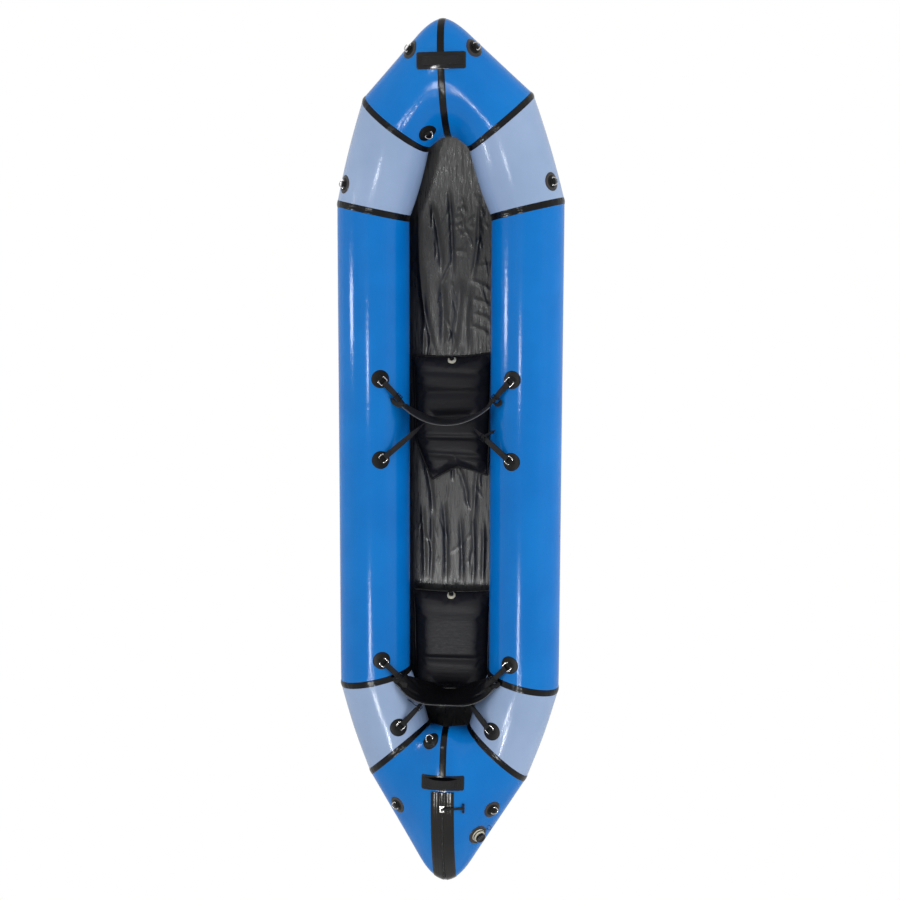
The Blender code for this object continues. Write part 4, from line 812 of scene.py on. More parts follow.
def patch_frame(run, share, angle, side, target=None):
    """A patch's place and directions, with its ring's bar 5 mm off the fabric."""
    rings = [ring * MIRROR if side == "left" else ring for ring in COARSE_RUNS[run]]
    at = share * (len(rings) - 1)
    low = min(int(at), len(rings) - 2)
    row = rings[low] + (rings[low + 1] - rings[low]) * (at - low)
    row = np.concatenate([row, row[:1]])
    spot = angle / (2 * pi) * COARSE_AROUND
    guess = row[int(spot)] + (row[int(spot) + 1] - row[int(spot)]) * (spot - int(spot))
    outward = unit(guess - row[:-1].mean(axis=0))
    hit, normal = ring_skin(rings).ray_cast(Vector(guess + outward * TUBE / 2), Vector(-outward))[:2]
    origin, normal = np.array(hit), np.array(normal) * np.sign(np.dot(normal, outward))
    aim = np.array([0, 0, -1.0]) if target is None else target - origin
    across = unit(np.cross(normal, aim))
    downhill = np.cross(across, normal)
    bar = origin + normal * BAR_HIGH
    lift = RING_LIFT
    if target is not None:
        lift = max(atan2(np.dot(target - bar, normal), np.dot(target - bar, downhill)), RING_LIFT / 2)
    along = downhill * cos(lift) + normal * sin(lift)
    return dict(origin=origin, normal=normal, across=across, downhill=downhill, bar=bar, along=along)


PATCH_RADIUS, PATCH_THICK, WIRE = 0.035, 0.0020, 0.0020
RING_HALF, RING_DEEP, RING_LIFT = 0.0150, 0.0215, radians(22)
BAR_CLEAR, RING_CLEAR = 0.0010, 0.0006
BAR_HIGH = GAP + PATCH_THICK + BAR_CLEAR + WIRE
# run of rings, share along it, angle round it, and the sides that have one
FREE_PATCHES = {
    "bow_outer": ("bow_panel", 0.470, radians(28), ("left", "right")),
    "bow_inner": ("bow_panel", 0.420, radians(131), ("left",)),
    "bow_shoulder": ("bow_shoulder", 0.200, radians(38), ("left", "right")),
    "stern_outer": ("stern_panel", 0.245, radians(56), ("left", "right")),
    "stern_inner": ("stern_panel", 0.450, radians(144), ("left",)),
}
# run of rings, share along it and angle round it, on both sides
STRAP_PATCHES = {
    "seat_front": ("side_tube", 0.655, radians(111)),
    "seat_rear": ("side_tube", 0.483, radians(111)),
    "rear_seat_front": ("side_tube", 0.046, radians(111)),
    "rear_seat_rear": ("stern_shoulder", 0.725, radians(114)),
}
print("patches:", sum(len(p[3]) for p in FREE_PATCHES.values()) + 2 * len(STRAP_PATCHES))

# %% [markdown]
# ## Webbing, wire and stitches
# The rest of the fittings are made of three things: flat woven webbing, bent wire and thread. Each is a
# short function. Webbing is a ribbon with rounded edges and a UV map in metres. Wire is a round tube
# along a line. Thread is a list of stitch lines that Geometry Nodes fills with stitches at the end.


# %% Webbing, wire and stitch lines
WIRE_SIDES = 10
RIB_PITCH, WEFT_PITCH = 0.0016, 0.0012


def smooth_line(points, steps=6):
    """A curve through points, with the given number of steps between each two."""
    points = np.asarray(points, float)
    padded = np.concatenate([[2 * points[0] - points[1]], points, [2 * points[-1] - points[-2]]])
    line = []
    for i in range(1, len(points)):
        a, b, c, d = padded[i - 1:i + 3]
        for t in np.arange(steps) / steps:
            line.append(0.5 * (2 * b + (c - a) * t + (2 * a - 5 * b + 4 * c - d) * t ** 2
                               + (3 * b - a - 3 * c + d) * t ** 3))
    return np.array(line + [points[-1]])


def unit_rows(vectors):
    """Directions of many vectors."""
    return vectors / np.linalg.norm(vectors, axis=1, keepdims=True)


def webbing(name, path, wides, width, thick, look):
    """A ribbon along a path, with a width direction at each point and rounded edges."""
    path, wides = np.asarray(path), np.asarray(wides, float)
    run = unit_rows(np.gradient(path, axis=0))
    wides = unit_rows(wides - run * (wides * run).sum(axis=1, keepdims=True))
    face = np.cross(run, wides)
    half, r = width / 2, thick / 2
    outline = [(u * (half - r), r * (1 - 0.25 * abs(u) ** 6)) for u in np.linspace(-1, 1, 9)]
    outline += [(half - r + r * sin(t), r * cos(t)) for t in (pi / 4, pi / 2, 3 * pi / 4)]
    outline = np.concatenate([outline, -np.array(outline)])
    rows = path[:, None] + wides[:, None] * outline[None, :, :1] + face[:, None] * outline[None, :, 1:]
    uv = np.stack(np.broadcast_arrays(outline[None, :, 0] + width, walked(path)[:, None]), axis=2)
    return grid_piece(name, close_ring(rows), look, closed=False, uv=close_ring(uv), flip=True, caps=True)


def wire(name, path, radius, look, closed=True):
    """A round tube along a line."""
    path, turn = np.asarray(path), full_turn(WIRE_SIDES)
    if closed:
        run = unit_rows(np.roll(path, -1, axis=0) - np.roll(path, 1, axis=0))
    else:
        run = unit_rows(np.gradient(path, axis=0))
    side = unit(np.cross(run[0], (0.3, 0.5, 0.8)))
    rows = []
    for place, ahead in zip(path, run):
        side = unit(side - ahead * np.dot(side, ahead))
        other = np.cross(ahead, side)
        rows.append(place + radius * (np.outer(np.cos(turn), side) + np.outer(np.sin(turn), other)))
    if closed:
        rows.append(rows[0])
    return grid_piece(name, rows, look, flip=True, caps=not closed)


def joined(name, objects):
    """Joins pieces into one object with their materials."""
    points, faces, looks, uses, smooth, uvs = [], [], [], [], [], []
    for obj in objects:
        base = len(points)
        points += [tuple(v.co) for v in obj.data.vertices]
        for slot in obj.data.materials:
            if slot not in looks:
                looks.append(slot)
        layer = obj.data.uv_layers.get("cloth")
        for face in obj.data.polygons:
            faces.append([base + v for v in face.vertices])
            uses.append(looks.index(obj.data.materials[face.material_index]))
            smooth.append(face.use_smooth)
            uvs += [tuple(layer.data[i].uv) if layer else (0.0, 0.0) for i in face.loop_indices]
    mesh = bpy.data.meshes.new(name)
    mesh.from_pydata(points, [], faces)
    for look in looks:
        mesh.materials.append(look)
    mesh.polygons.foreach_set("material_index", uses)
    mesh.polygons.foreach_set("use_smooth", smooth)
    mesh.uv_layers.new(name="cloth").data.foreach_set("uv", np.array(uvs, np.float32).ravel())
    for obj in objects:
        bpy.data.objects.remove(obj, do_unlink=True)
    return new_object(name, mesh)


STITCHES = []      # (points, outward direction) of every stitch line


def stitch(points, outward):
    """Notes a line of stitches for the Geometry Nodes at the end."""
    STITCHES.append((np.asarray(points, float), unit(outward)))


def webbing_look(name, dark, light, rough=0.62):
    """Woven tape: ribs along it, crossed by the weft, and a little wear."""
    look = Look(name)
    u, v, _ = look.split(look.node("UVMap", {"uv_map": "cloth"}))
    ribs = (u * (2 * pi / RIB_PITCH)).wave()
    weft = (v * (2 * pi / WEFT_PITCH) + ribs * 1.4).wave()
    weave = ribs * 0.4 + weft * 0.6
    worn = look.noise(look.node("TexCoord", output=3), 90.0, 3.0)
    share = look.range(weave + worn * 1.6, -0.6, 2.0, 0.0, 1.0)
    look.set(Base_Color=look.mixed(share, dark, light), Specular_IOR_Level=0.15)
    look.set(Roughness=look.range(worn, 0.3, 0.7, rough - 0.08, rough + 0.10))
    look.set(Normal=look.bump(weave, 0.00022))
    return look


def moulded(name, dark, light, rough, metal=0.0, scale=240.0, depth=0.00004, shine=0.5):
    """Moulded plastic, rubber or drawn metal: a fine grain and a slow change of shine."""
    look = Look(name)
    where = look.node("TexCoord", output=3)
    slow, fine = look.noise(where, 30.0, 2.0), look.noise(where, scale, 3.0)
    look.set(Base_Color=look.mixed(look.range(slow, 0.35, 0.65, 0.0, 1.0), dark, light))
    look.set(Roughness=look.range(fine, 0.3, 0.7, rough - 0.06, rough + 0.08), Metallic=metal)
    look.set(Normal=look.bump(fine, depth), Specular_IOR_Level=shine)
    return look


black_web = webbing_look("black_webbing", (0.008, 0.008, 0.009, 1), (0.030, 0.028, 0.030, 1))
dark_web = webbing_look("dark_keeper_webbing", (0.004, 0.004, 0.005, 1), (0.014, 0.014, 0.015, 1))
rubber = moulded("black_rubber_patch", (0.003, 0.003, 0.003, 1), (0.007, 0.006, 0.006, 1), 0.42, shine=0.18)
grey_rubber = moulded("dark_patch_rim", (0.026, 0.023, 0.022, 1), (0.044, 0.039, 0.038, 1), 0.30, shine=0.35)
steel = moulded("drawn_steel", (0.50, 0.49, 0.49, 1), (0.70, 0.69, 0.68, 1), 0.20, metal=1.0, scale=900.0,
                depth=0.00002)
black_plastic = moulded("black_plastic", (0.003, 0.003, 0.004, 1), (0.007, 0.007, 0.008, 1), 0.24, shine=0.35)
cream_plastic = moulded("cream_plastic", (0.62, 0.58, 0.44, 1), (0.72, 0.69, 0.56, 1), 0.38)
thread = moulded("thread", (0.014, 0.014, 0.015, 1), (0.026, 0.026, 0.028, 1), 0.60, scale=3000.0, shine=0.2)
print("looks:", len(bpy.data.materials))

# %% [markdown]
# ## Patches, keepers and rings
# A round patch spreads a pull over the fabric. On it a folded strip of webbing, the keeper, holds the
# bar of a ring and is sewn down on both sides of it. The free rings are D-shaped and turn in their
# keepers. The ones for the seats are squarer and are held up by their straps.


# %% Patches
SKIRT, SEW_REACH = -0.0006, 0.42
MIDDLE_RADIUS, MIDDLE_THICK = 0.0235, 0.0008
KEEPER_WIDE, KEEPER_FOOT, KEEPER_THICK = 0.020, 0.0125, 0.0014


def rim_height(share, start, wide):
    """Height of a rounded rim: 1 up to its start, falling to 0 over its width."""
    return sqrt(max(0.0, 1 - max(0.0, (share - start) / wide) ** 2))


def patch_disc(name, place, look, radius=PATCH_RADIUS, thick=PATCH_THICK, rings=8, count=40, high=0.0):
    """A disc over the fabric with a rounded rim, whose last ring goes a little way into the fabric."""
    rows = []
    for share in np.concatenate([np.linspace(0.0, 0.9, rings - 4), [0.95, 0.985, 1.0, 1.0]]):
        rise = SKIRT if len(rows) == rings - 1 else thick * rim_height(share, 0.90, 0.10)
        row = []
        for turn in full_turn(count):
            spot = place["origin"] + radius * max(share, 0.002) * (
                place["across"] * cos(turn) + place["downhill"] * sin(turn))
            row.append(laid(spot, place["normal"], rise + high))
        rows.append(row)
    return grid_piece(name, rows, look, caps=True, flip=True)


def keeper(name, place):
    """The folded webbing over a ring's bar, with two sewn feet."""
    reach_out = WIRE + RING_CLEAR + KEEPER_THICK / 2
    base = PATCH_THICK + KEEPER_THICK / 2
    line = [(-KEEPER_FOOT, base), (-KEEPER_FOOT * 0.62, base + 0.0001)]
    line += [(reach_out * cos(t), BAR_HIGH - GAP + reach_out * sin(t))
             for t in np.radians((168, 135, 90, 45, 12))]
    line += [(KEEPER_FOOT * 0.62, base + 0.0001), (KEEPER_FOOT, base)]
    ground = laid(place["origin"], place["normal"], 0.0)
    path = smooth_line([ground + place["downhill"] * x + place["normal"] * z for x, z in line], 5)
    wides = np.broadcast_to(place["across"], path.shape)
    for end in (-1, 1):
        for share in (0.70, 0.92):
            spots = [ground + place["downhill"] * end * KEEPER_FOOT * share
                     + place["across"] * s * KEEPER_WIDE * SEW_REACH
                     + place["normal"] * (PATCH_THICK + KEEPER_THICK) for s in (-1, 1)]
            stitch(spots, place["normal"])
    return webbing(name, path, wides, KEEPER_WIDE, KEEPER_THICK, dark_web)


def ring_line(place, square):
    """Centre line of a ring, from its bar round its bow."""
    if square:
        half = [(0.80, 0.0), (1, 0.10), (1, 0.82), (0.94, 0.94), (0.80, 1)]
        shape = half + [(-u, v) for u, v in half[::-1]]
    else:
        shape = [(0.86, 0.0), (0.97, 0.05)] + [(cos(t), sin(t)) for t in np.radians(range(10, 171, 16))]
        shape += [(-0.97, 0.05), (-0.86, 0.0)]
    across, along = place["across"] * RING_HALF, place["along"] * RING_DEEP
    spots = [place["bar"] + across * u + along * v for u, v in shape]
    bar = [spots[-1] + (spots[0] - spots[-1]) * t for t in (0.25, 0.5, 0.75)]
    return np.concatenate([smooth_line(spots, 4), bar])


for name, (run, share, angle, sides) in FREE_PATCHES.items():
    for side in sides:
        place = patch_frame(run, share, angle, side)
        parts = [patch_disc("rim", place, rubber if "inner" in name else grey_rubber),
                 patch_disc("middle", place, rubber, radius=MIDDLE_RADIUS, thick=MIDDLE_THICK, rings=6,
                            high=PATCH_THICK - 0.0002),
                 keeper("keeper", place)]
        ride_on(joined(f"patch_{name}_{side}", parts), "hull", "patch_black", f"anchor_{name}_{side}")
        ring = wire(f"ring_{name}_{side}", ring_line(place, False), WIRE, steel)
        ride_on(ring, f"d_ring_{name}_{side}", "ring_steel", f"d_ring_{name}_{side}")
print("free patches with their rings: 8")

# %% [markdown]
# ## The seats' webbing
# Each backband is held at four rings. Its two front straps run from its ends to rings on the side tubes
# and are set with buckles. The rear one is a single length that lies against the back of the band and
# ends in the two rear rings. All of them turn round a ring's outer bar and are sewn back on
# themselves, so each strap starts with a short doubled stretch.

# %% Straps
BAND = dict(half=0.168, bow=0.073, thick=0.012, top=0.292, end_top=0.276, end_low=0.215, flat=0.42)
BAND_LOW, STRAP_LEAN = 0.0978, 22
BAND_Y = {"seat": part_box("seat_cushion")[0][1] + 0.2224,
          "rear_seat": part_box("rear_seat_cushion")[0][1] + 0.0184}
STRAP_WIDE, STRAP_THICK, STRAP_TAIL, LONG_TAIL = 0.022, 0.0016, 0.030, 0.11
STRAP_LOOP = WIRE + RING_CLEAR + STRAP_THICK / 2
STRAP_BEHIND = -BAND["thick"] / 2 - RING_CLEAR - STRAP_THICK / 2
STRAP_IN, STRAP_SEAMS = 0.014, (0.010, 0.016, 0.022)
RUN_START, RUN_STEPS = 9, 18
REAR_HALF, REAR_HIGH, EASE = 0.075, 0.242, 0.0024
UP = np.array([0, 0, 1.0])


def band_place(middle_y, x, offset=0.0):
    """A point on a backband's curve in plan, moved forward by the offset."""
    slope = 2 * BAND["bow"] * x / BAND["half"] ** 2
    forward = unit((-slope, 1, 0))
    return np.array([x, middle_y + BAND["bow"] * (x / BAND["half"]) ** 2, 0]) + forward * offset


def band_up(x, lean):
    """Upward direction of a backband: its ends lean back, so that their front shows from above."""
    lean = radians(lean) * (abs(x) / BAND["half"]) ** 2
    forward = unit((-2 * BAND["bow"] * x / BAND["half"] ** 2, 1, 0))
    return UP * cos(lean) - forward * sin(lean)


def strap_run(place, goal, upright, tail=STRAP_TAIL):
    """Points and width directions of a strap: its sewn tail, its turn round the ring, its run to the goal."""
    bar = place["bar"] + place["along"] * RING_DEEP
    wide = place["across"]
    away = unit((goal - bar) - wide * np.dot(goal - bar, wide))
    face = np.cross(away, wide)
    face = face if np.dot(face, place["normal"]) > 0 else -face
    points = [bar + away * (tail * t) - face * STRAP_LOOP * (1 - 0.25 * t) for t in (1.0, 0.66, 0.33)]
    points += [bar + (away * cos(t) + face * sin(t)) * STRAP_LOOP for t in np.radians(range(-90, -271, -30))]
    wides = [wide] * len(points)
    start = points[-1]
    upright = upright if np.dot(upright, wide) > 0 else -upright
    for step in range(1, RUN_STEPS + 1):
        share = step / RUN_STEPS
        twist = max(0.0, (share - 0.35) / 0.65) ** 1.2
        points.append(start + (goal - start) * share)
        wides.append(wide * (1 - twist) + upright * twist)
    return points, wides, dict(away=away, face=face, wide=wide, start=start)


def band_height(x):
    """Heights of a backband's lower and upper edge."""
    taper = np.clip((abs(x) / BAND["half"] - BAND["flat"]) / (1 - BAND["flat"]), 0, 1)
    low = BAND_LOW + (BAND["end_low"] - BAND_LOW) * taper
    return low, BAND["top"] + (BAND["end_top"] - BAND["top"]) * taper


RUNS = {}          # frame, points, width directions and turn of every strap end
for prefix, middle_y in BAND_Y.items():
    for side, sign in (("left", -1), ("right", 1)):
        ends_high = UP * (BAND["end_top"] + BAND["end_low"]) / 2
        goal = band_place(middle_y, sign * (BAND["half"] - STRAP_IN)) + ends_high
        front = patch_frame(*STRAP_PATCHES[f"{prefix}_front"], side, goal)
        RUNS[prefix, "front", side] = (front, *strap_run(front, goal, band_up(BAND["half"], STRAP_LEAN)))
        goal = band_place(middle_y, sign * REAR_HALF, STRAP_BEHIND - EASE) + UP * REAR_HIGH
        rear = patch_frame(*STRAP_PATCHES[f"{prefix}_rear"], side, goal)
        tail = LONG_TAIL if side == "right" else STRAP_TAIL
        RUNS[prefix, "rear", side] = (rear, *strap_run(rear, goal, UP, tail))
for (prefix, end, side), (place, _, _, turn) in RUNS.items():
    parts = [patch_disc("disc", place, rubber), keeper("keeper", place),
             wire("ring", ring_line(place, True), WIRE, steel)]
    ride_on(joined(f"patch_{prefix}_{end}_{side}", parts), "hull", "patch_black",
            f"anchor_{prefix}_{end}_{side}")
    for along in STRAP_SEAMS:
        spots = [turn["start"] + turn["away"] * along + turn["wide"] * s * STRAP_WIDE * 0.40
                 + turn["face"] * STRAP_THICK * 0.5 for s in (-1, 1)]
        stitch(spots, turn["face"])
print("strap ends:", len(RUNS))

# %% [markdown]
# ## Blowing up the padded pieces
# Cushions and backbands are two sheets that meet in a rim. Each is drawn first as a slightly slack
# pillow on a fine grid. Then the cloth solver blows it up: the rim is held, the fabric has a few
# per cent to spare, and the air presses it out, which leaves the small gathers that run in from a
# welded edge. How far a point may move is capped, so that the pillow keeps the size of its CAD solid.


# %% Pillows and the cloth solver
CLOTH_STEP = 0.005
CUSHION_GIVE, BAND_GIVE = 0.006, 0.0022
EDGE_HALF, EDGE_THICK = 0.0042, 0.0012


def pillow(name, place, across, along, look):
    """Two sheets over a grid that share their rim. place(u, v, side) gives the points."""
    points, sheets = [], {}
    for i in range(across + 1):
        for j in range(along + 1):
            u, v = 2 * i / across - 1, 2 * j / along - 1
            sheets[1, i, j] = sheets[-1, i, j] = len(points)
            points.append(place(u, v, 1))
            if 0 < i < across and 0 < j < along:
                sheets[-1, i, j] = len(points)
                points.append(place(u, v, -1))
    faces, uvs = [], []
    for side in (1, -1):
        for i in range(across):
            for j in range(along):
                corners = ((i, j), (i + 1, j), (i + 1, j + 1), (i, j + 1))[::side]
                faces.append([sheets[(side, *c)] for c in corners])
                uvs += [(c[0] * CLOTH_STEP, c[1] * CLOTH_STEP) for c in corners]
    mesh = bpy.data.meshes.new(name)
    mesh.from_pydata([tuple(p) for p in points], [], faces)
    mesh.uv_layers.new(name="cloth").data.foreach_set("uv", np.array(uvs, np.float32).ravel())
    mesh.materials.append(look.material)
    rim = [sheets[1, i, j] for i in range(across + 1) for j in range(along + 1)
           if i in (0, across) or j in (0, along)]
    return new_object(name, mesh), rim


def spots_of(mesh):
    """The points of a mesh as an array."""
    spots = np.empty(len(mesh.vertices) * 3, np.float32)
    mesh.vertices.foreach_get("co", spots)
    return spots.reshape(-1, 3).astype(float)


def move_spots(mesh, spots):
    """Gives a mesh's points new places."""
    mesh.vertices.foreach_set("co", spots.astype(np.float32).ravel())
    mesh.update()


def baked(obj):
    """Turns an object with modifiers into a plain mesh."""
    seen = obj.evaluated_get(bpy.context.evaluated_depsgraph_get())
    plain = bpy.data.meshes.new_from_object(seen)
    obj.modifiers.clear()
    obj.data = plain
    plain.polygons.foreach_set("use_smooth", [True] * len(plain.polygons))
    return obj


def blown_up(obj, rim, cap, pressure=4.0, spare=0.035, frames=16):
    """Blows a pillow up with its rim held, caps how far its points move, and refines it once."""
    group = obj.vertex_groups.new(name="rim")
    group.add(rim, 1.0, "ADD")
    cloth = obj.modifiers.new("air", "CLOTH")
    air = cloth.settings
    air.quality, air.mass = 5, 0.3
    air.tension_stiffness, air.compression_stiffness = 14.0, 10.0
    air.shear_stiffness, air.bending_stiffness = 5.0, 0.25
    air.vertex_group_mass = "rim"
    air.shrink_min = -spare
    air.use_pressure, air.uniform_pressure_force = True, pressure
    air.effector_weights.gravity = 0.0
    cloth.point_cache.frame_start, cloth.point_cache.frame_end = 1, frames
    rest = spots_of(obj.data)
    for step in range(1, frames + 1):
        bpy.context.scene.frame_set(step)
    seen = obj.evaluated_get(bpy.context.evaluated_depsgraph_get())
    move = spots_of(seen.data) - rest
    obj.modifiers.clear()
    bpy.context.scene.frame_set(1)
    far = np.linalg.norm(move, axis=1, keepdims=True)
    move *= np.minimum(1.0, cap / np.maximum(far, 1e-9))
    move_spots(obj.data, rest + move)
    obj.modifiers.new("finer", "SUBSURF").levels = 1
    print(f"{obj.name}: moved up to {far.max() * 1000:.1f} mm, capped at {cap * 1000:.0f}")
    return baked(obj)


def binding(name, rim, look):
    """A flat welded edge round a closed line of points."""
    rim = np.asarray(rim)
    run = unit_rows(np.roll(rim, -1, axis=0) - np.roll(rim, 1, axis=0))
    side = unit_rows(np.cross(run, UP))
    high = np.cross(side, run)
    rows = [rim + side * cos(t) * EDGE_HALF + high * sin(t) * EDGE_THICK for t in full_turn(WIRE_SIDES)]
    rows = np.array(rows + rows[:1]).transpose(1, 0, 2)
    return grid_piece(name, np.concatenate([rows, rows[:1]]), look, closed=False, flip=True)


# %% [markdown]
# ## The two air cushions
# They are welded across into soft channels. The front one has a loose rear edge with a shallow V and
# its left rear corner is drawn inwards. Both are edged all round.

# %% Cushions
charcoal = coated_fabric("charcoal_cushion_fabric", (0.011, 0.011, 0.014, 1), (0.016, 0.016, 0.020, 1),
                         0.42, ripple=0.0012, shine=0.13)
edge_black = coated_fabric("black_cushion_edge", (0.002, 0.002, 0.003, 1), (0.005, 0.005, 0.006, 1),
                           0.40, shine=0.12)
CUSHION_HALF, CUSHION_THICK, CUSHION_REST, DRAW_IN = 0.158, 0.096, 0.0019, 0.007
CUSHION_MIDDLE, CUSHION_TOP, CHANNEL_DEEP = CUSHION_REST + CUSHION_THICK / 2, 0.0970, 0.0085
# each channel: its share of the length from the rear edge, half its width, and its depth
CUSHIONS = {
    "seat_cushion": dict(length=0.480, widths=(0.90, 0.97, 1.0, 1.0, 1.0), notch=0.032, corner=1.0,
                         channels=((0.171, 0.013, 0.9), (0.325, 0.011, 0.8), (0.504, 0.016, 1.0),
                                   (0.697, 0.019, 1.1), (0.859, 0.012, 0.9))),
    "rear_seat_cushion": dict(length=0.420, widths=(0.94, 0.97, 1.0, 1.0, 1.0), notch=0.0, corner=0.0,
                              channels=((0.34, 0.013, 1.1), (0.80, 0.022, 0.25))),
}


def crown(share, power):
    """Height of a cushion's section: 1 in the middle, 0 at its edges, flatter with a higher power."""
    return sqrt(max(0.0, 1 - abs(share) ** power))


def cushion_place(rear, size):
    """The points of a cushion, as a function of its shares across and along and of its side."""

    def place(u, v, side):
        share = (v + 1) / 2
        half = CUSHION_HALF * np.interp(share, np.linspace(0, 1, 5), size["widths"])
        x = u * (half - DRAW_IN * (1 - v * v))
        y = rear + size["length"] * share + size["notch"] * (1 - abs(u)) * (1 - share) ** 4
        y -= v * DRAW_IN * (1 - u * u)
        lean, left = max(0.0, 1 - share / 0.32) ** 1.25 * size["corner"], (1 - u) / 2
        x, y = x + 0.062 * lean * left ** 1.3, y - 0.020 * lean * left ** 2
        y += 0.012 * size["corner"] * ((1 + u) / 2) ** 3 * share ** 6
        rise = crown(u, 5.0) * crown(v, 8.0 if v > 0 else 4.0) * CUSHION_THICK / 2 * 0.94
        height = rise if side > 0 else -min(rise * 1.06, CUSHION_THICK / 2)
        return np.array([x, y, CUSHION_MIDDLE + height])

    return place


def air_cushion(name, size):
    """Blows up a cushion, presses its channels in and edges it."""
    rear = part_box(name)[0][1]
    place = cushion_place(rear, size)
    obj, rim = pillow(f"{name}_fabric", place, 62, round(size["length"] / CLOTH_STEP), charcoal)
    blown_up(obj, rim, CUSHION_GIVE)
    spots = spots_of(obj.data)
    share = (spots[:, 1] - rear) / size["length"]
    above = np.clip((spots[:, 2] - CUSHION_MIDDLE) / (CUSHION_THICK / 2), 0, 1)
    slant = spots[:, 0] * 0.05 * np.sin(share * 9)
    for where, width, depth in size["channels"]:
        dip = np.exp(-(((share - where) * size["length"] + slant) / width) ** 2)
        spots[:, 2] -= dip * depth * CHANNEL_DEEP * above
    high = spots[:, 2] > CUSHION_MIDDLE
    rise, highest = spots[high, 2] - CUSHION_MIDDLE, spots[:, 2].max() - CUSHION_MIDDLE
    spots[high, 2] = CUSHION_MIDDLE + rise * (CUSHION_TOP - CUSHION_MIDDLE) / highest
    spots[:, 2] = np.maximum(spots[:, 2], CUSHION_REST + 0.0002)
    move_spots(obj.data, spots)
    edge = [place(u, -1, 1) for u in np.linspace(-1, 1, 60)[:-1]]
    edge += [place(1, v, 1) for v in np.linspace(-1, 1, 80)[:-1]]
    edge += [place(u, 1, 1) for u in np.linspace(1, -1, 60)[:-1]]
    edge += [place(-1, v, 1) for v in np.linspace(1, -1, 80)[:-1]]
    ride_on(binding(f"{name}_edge", edge, edge_black), "hull", "cushion_black")
    ride_on(obj, "hull", "cushion_black", name)


for name, size in CUSHIONS.items():
    air_cushion(name, size)

# %% [markdown]
# ## Backbands
# A backband is a stiff padded panel, tall in the middle and narrow at its ends, which lean back. A pale
# binding runs along its upper edge, and its pale grey is a painted highlight. The rear one leans back
# further, and its fabric is a darker copy of the front one's: painted shade.

# %% Backbands and their straps
# One fabric in two copies: the front band's is painted lighter, as light falls on it, and the rear band's
# darker, as painted shade.
lit_band_fabric = coated_fabric("backband_fabric", (0.015, 0.015, 0.017, 1), (0.023, 0.023, 0.026, 1), 0.42,
                            ripple=0.0008, shine=0.22)
shaded_rear_fabric = coated_fabric("shaded_rear_backband_fabric", (0.0022, 0.0020, 0.0024, 1),
                            (0.0045, 0.0042, 0.0048, 1), 0.46, ripple=0.0008, shine=0.12)
# Painted highlight: the binding's pale grey stands for the highlight along the band's upper edge.
painted_highlight_binding = webbing_look("painted_highlight_binding", (0.07, 0.07, 0.072, 1), (0.17, 0.17, 0.175, 1), 0.45)
LEANS = {"seat": 5, "rear_seat": 44}
REAR_LONGER, BINDING_WIRE = 0.012, 0.0013
BUCKLE_LONG, BUCKLE_WIDE, BUCKLE_BAR, BUCKLE_THICK = 0.0125, 0.0135, 0.0034, 0.0030


def band_point(prefix, x, share, offset):
    """A point of a backband: share is 0 at its lower edge and 1 at its upper one."""
    low, high = band_height(x)
    middle = (low + high) / 2
    spot = band_place(BAND_Y[prefix], x, offset) + UP * middle
    return spot + band_up(x, LEANS[prefix]) * (low + (high - low) * share - middle)


def back_band(prefix):
    """A padded backband with its binding and its sewn ends."""
    half = BAND["half"] + (REAR_LONGER if prefix == "rear_seat" else 0.0)

    def place(u, v, side):
        thick = crown(u, 14) * crown(v, 5) * BAND["thick"] / 2
        return band_point(prefix, u * half, (v + 1) / 2, side * thick)

    obj, rim = pillow(f"{prefix}_backband_pad", place, 76, 40,
                      lit_band_fabric if prefix == "seat" else shaded_rear_fabric)
    blown_up(obj, rim, BAND_GIVE, pressure=2.0, spare=0.02, frames=12)
    spans = np.linspace(-1, 1, 90) * half * 0.985
    line = [band_point(prefix, x, 1.0, -BAND["thick"] * 0.32) for x in spans]
    ride_on(wire(f"{prefix}_backband_binding", line, BINDING_WIRE, painted_highlight_binding, closed=False),
            "hull", "webbing_black")
    ride_on(obj, "hull", "webbing_black", f"{prefix}_backband")
    for end in (-1, 1):
        for share in (0.12, 0.88):
            spots = [band_point(prefix, end * BAND["half"] * s, share, BAND["thick"] * 0.40)
                     for s in np.linspace(0.78, 0.97, 5)]
            stitch(spots, band_up(end * BAND["half"], LEANS[prefix]))


def ladder_buckle(name, centre, run, wide, face):
    """Two side bars and three cross bars, the middle one a little higher."""
    made = []
    for side in (-1, 1):
        ends = [centre + wide * side * BUCKLE_WIDE + run * t * BUCKLE_LONG for t in (-1, 0, 1)]
        made.append(webbing("side", ends, [wide] * 3, BUCKLE_BAR, BUCKLE_THICK, black_plastic))
    for spot, lift in ((-1, 0.0), (0.05, 0.0012), (1, 0.0)):
        ends = [centre + run * spot * (BUCKLE_LONG - 0.0016) + wide * t * BUCKLE_WIDE + face * lift
                for t in (-1, 0, 1)]
        made.append(webbing("cross", ends, [run] * 3, BUCKLE_BAR, BUCKLE_THICK, black_plastic))
    return joined(name, made)


def strap_at(points, share):
    """Place and direction along a strap's run, from its ring at 0 to the band at 1."""
    run = np.array(points[RUN_START:])
    at = share * (len(run) - 1)
    low = min(int(at), len(run) - 2)
    return run[low] + (run[low + 1] - run[low]) * (at - low), unit(run[low + 1] - run[low])


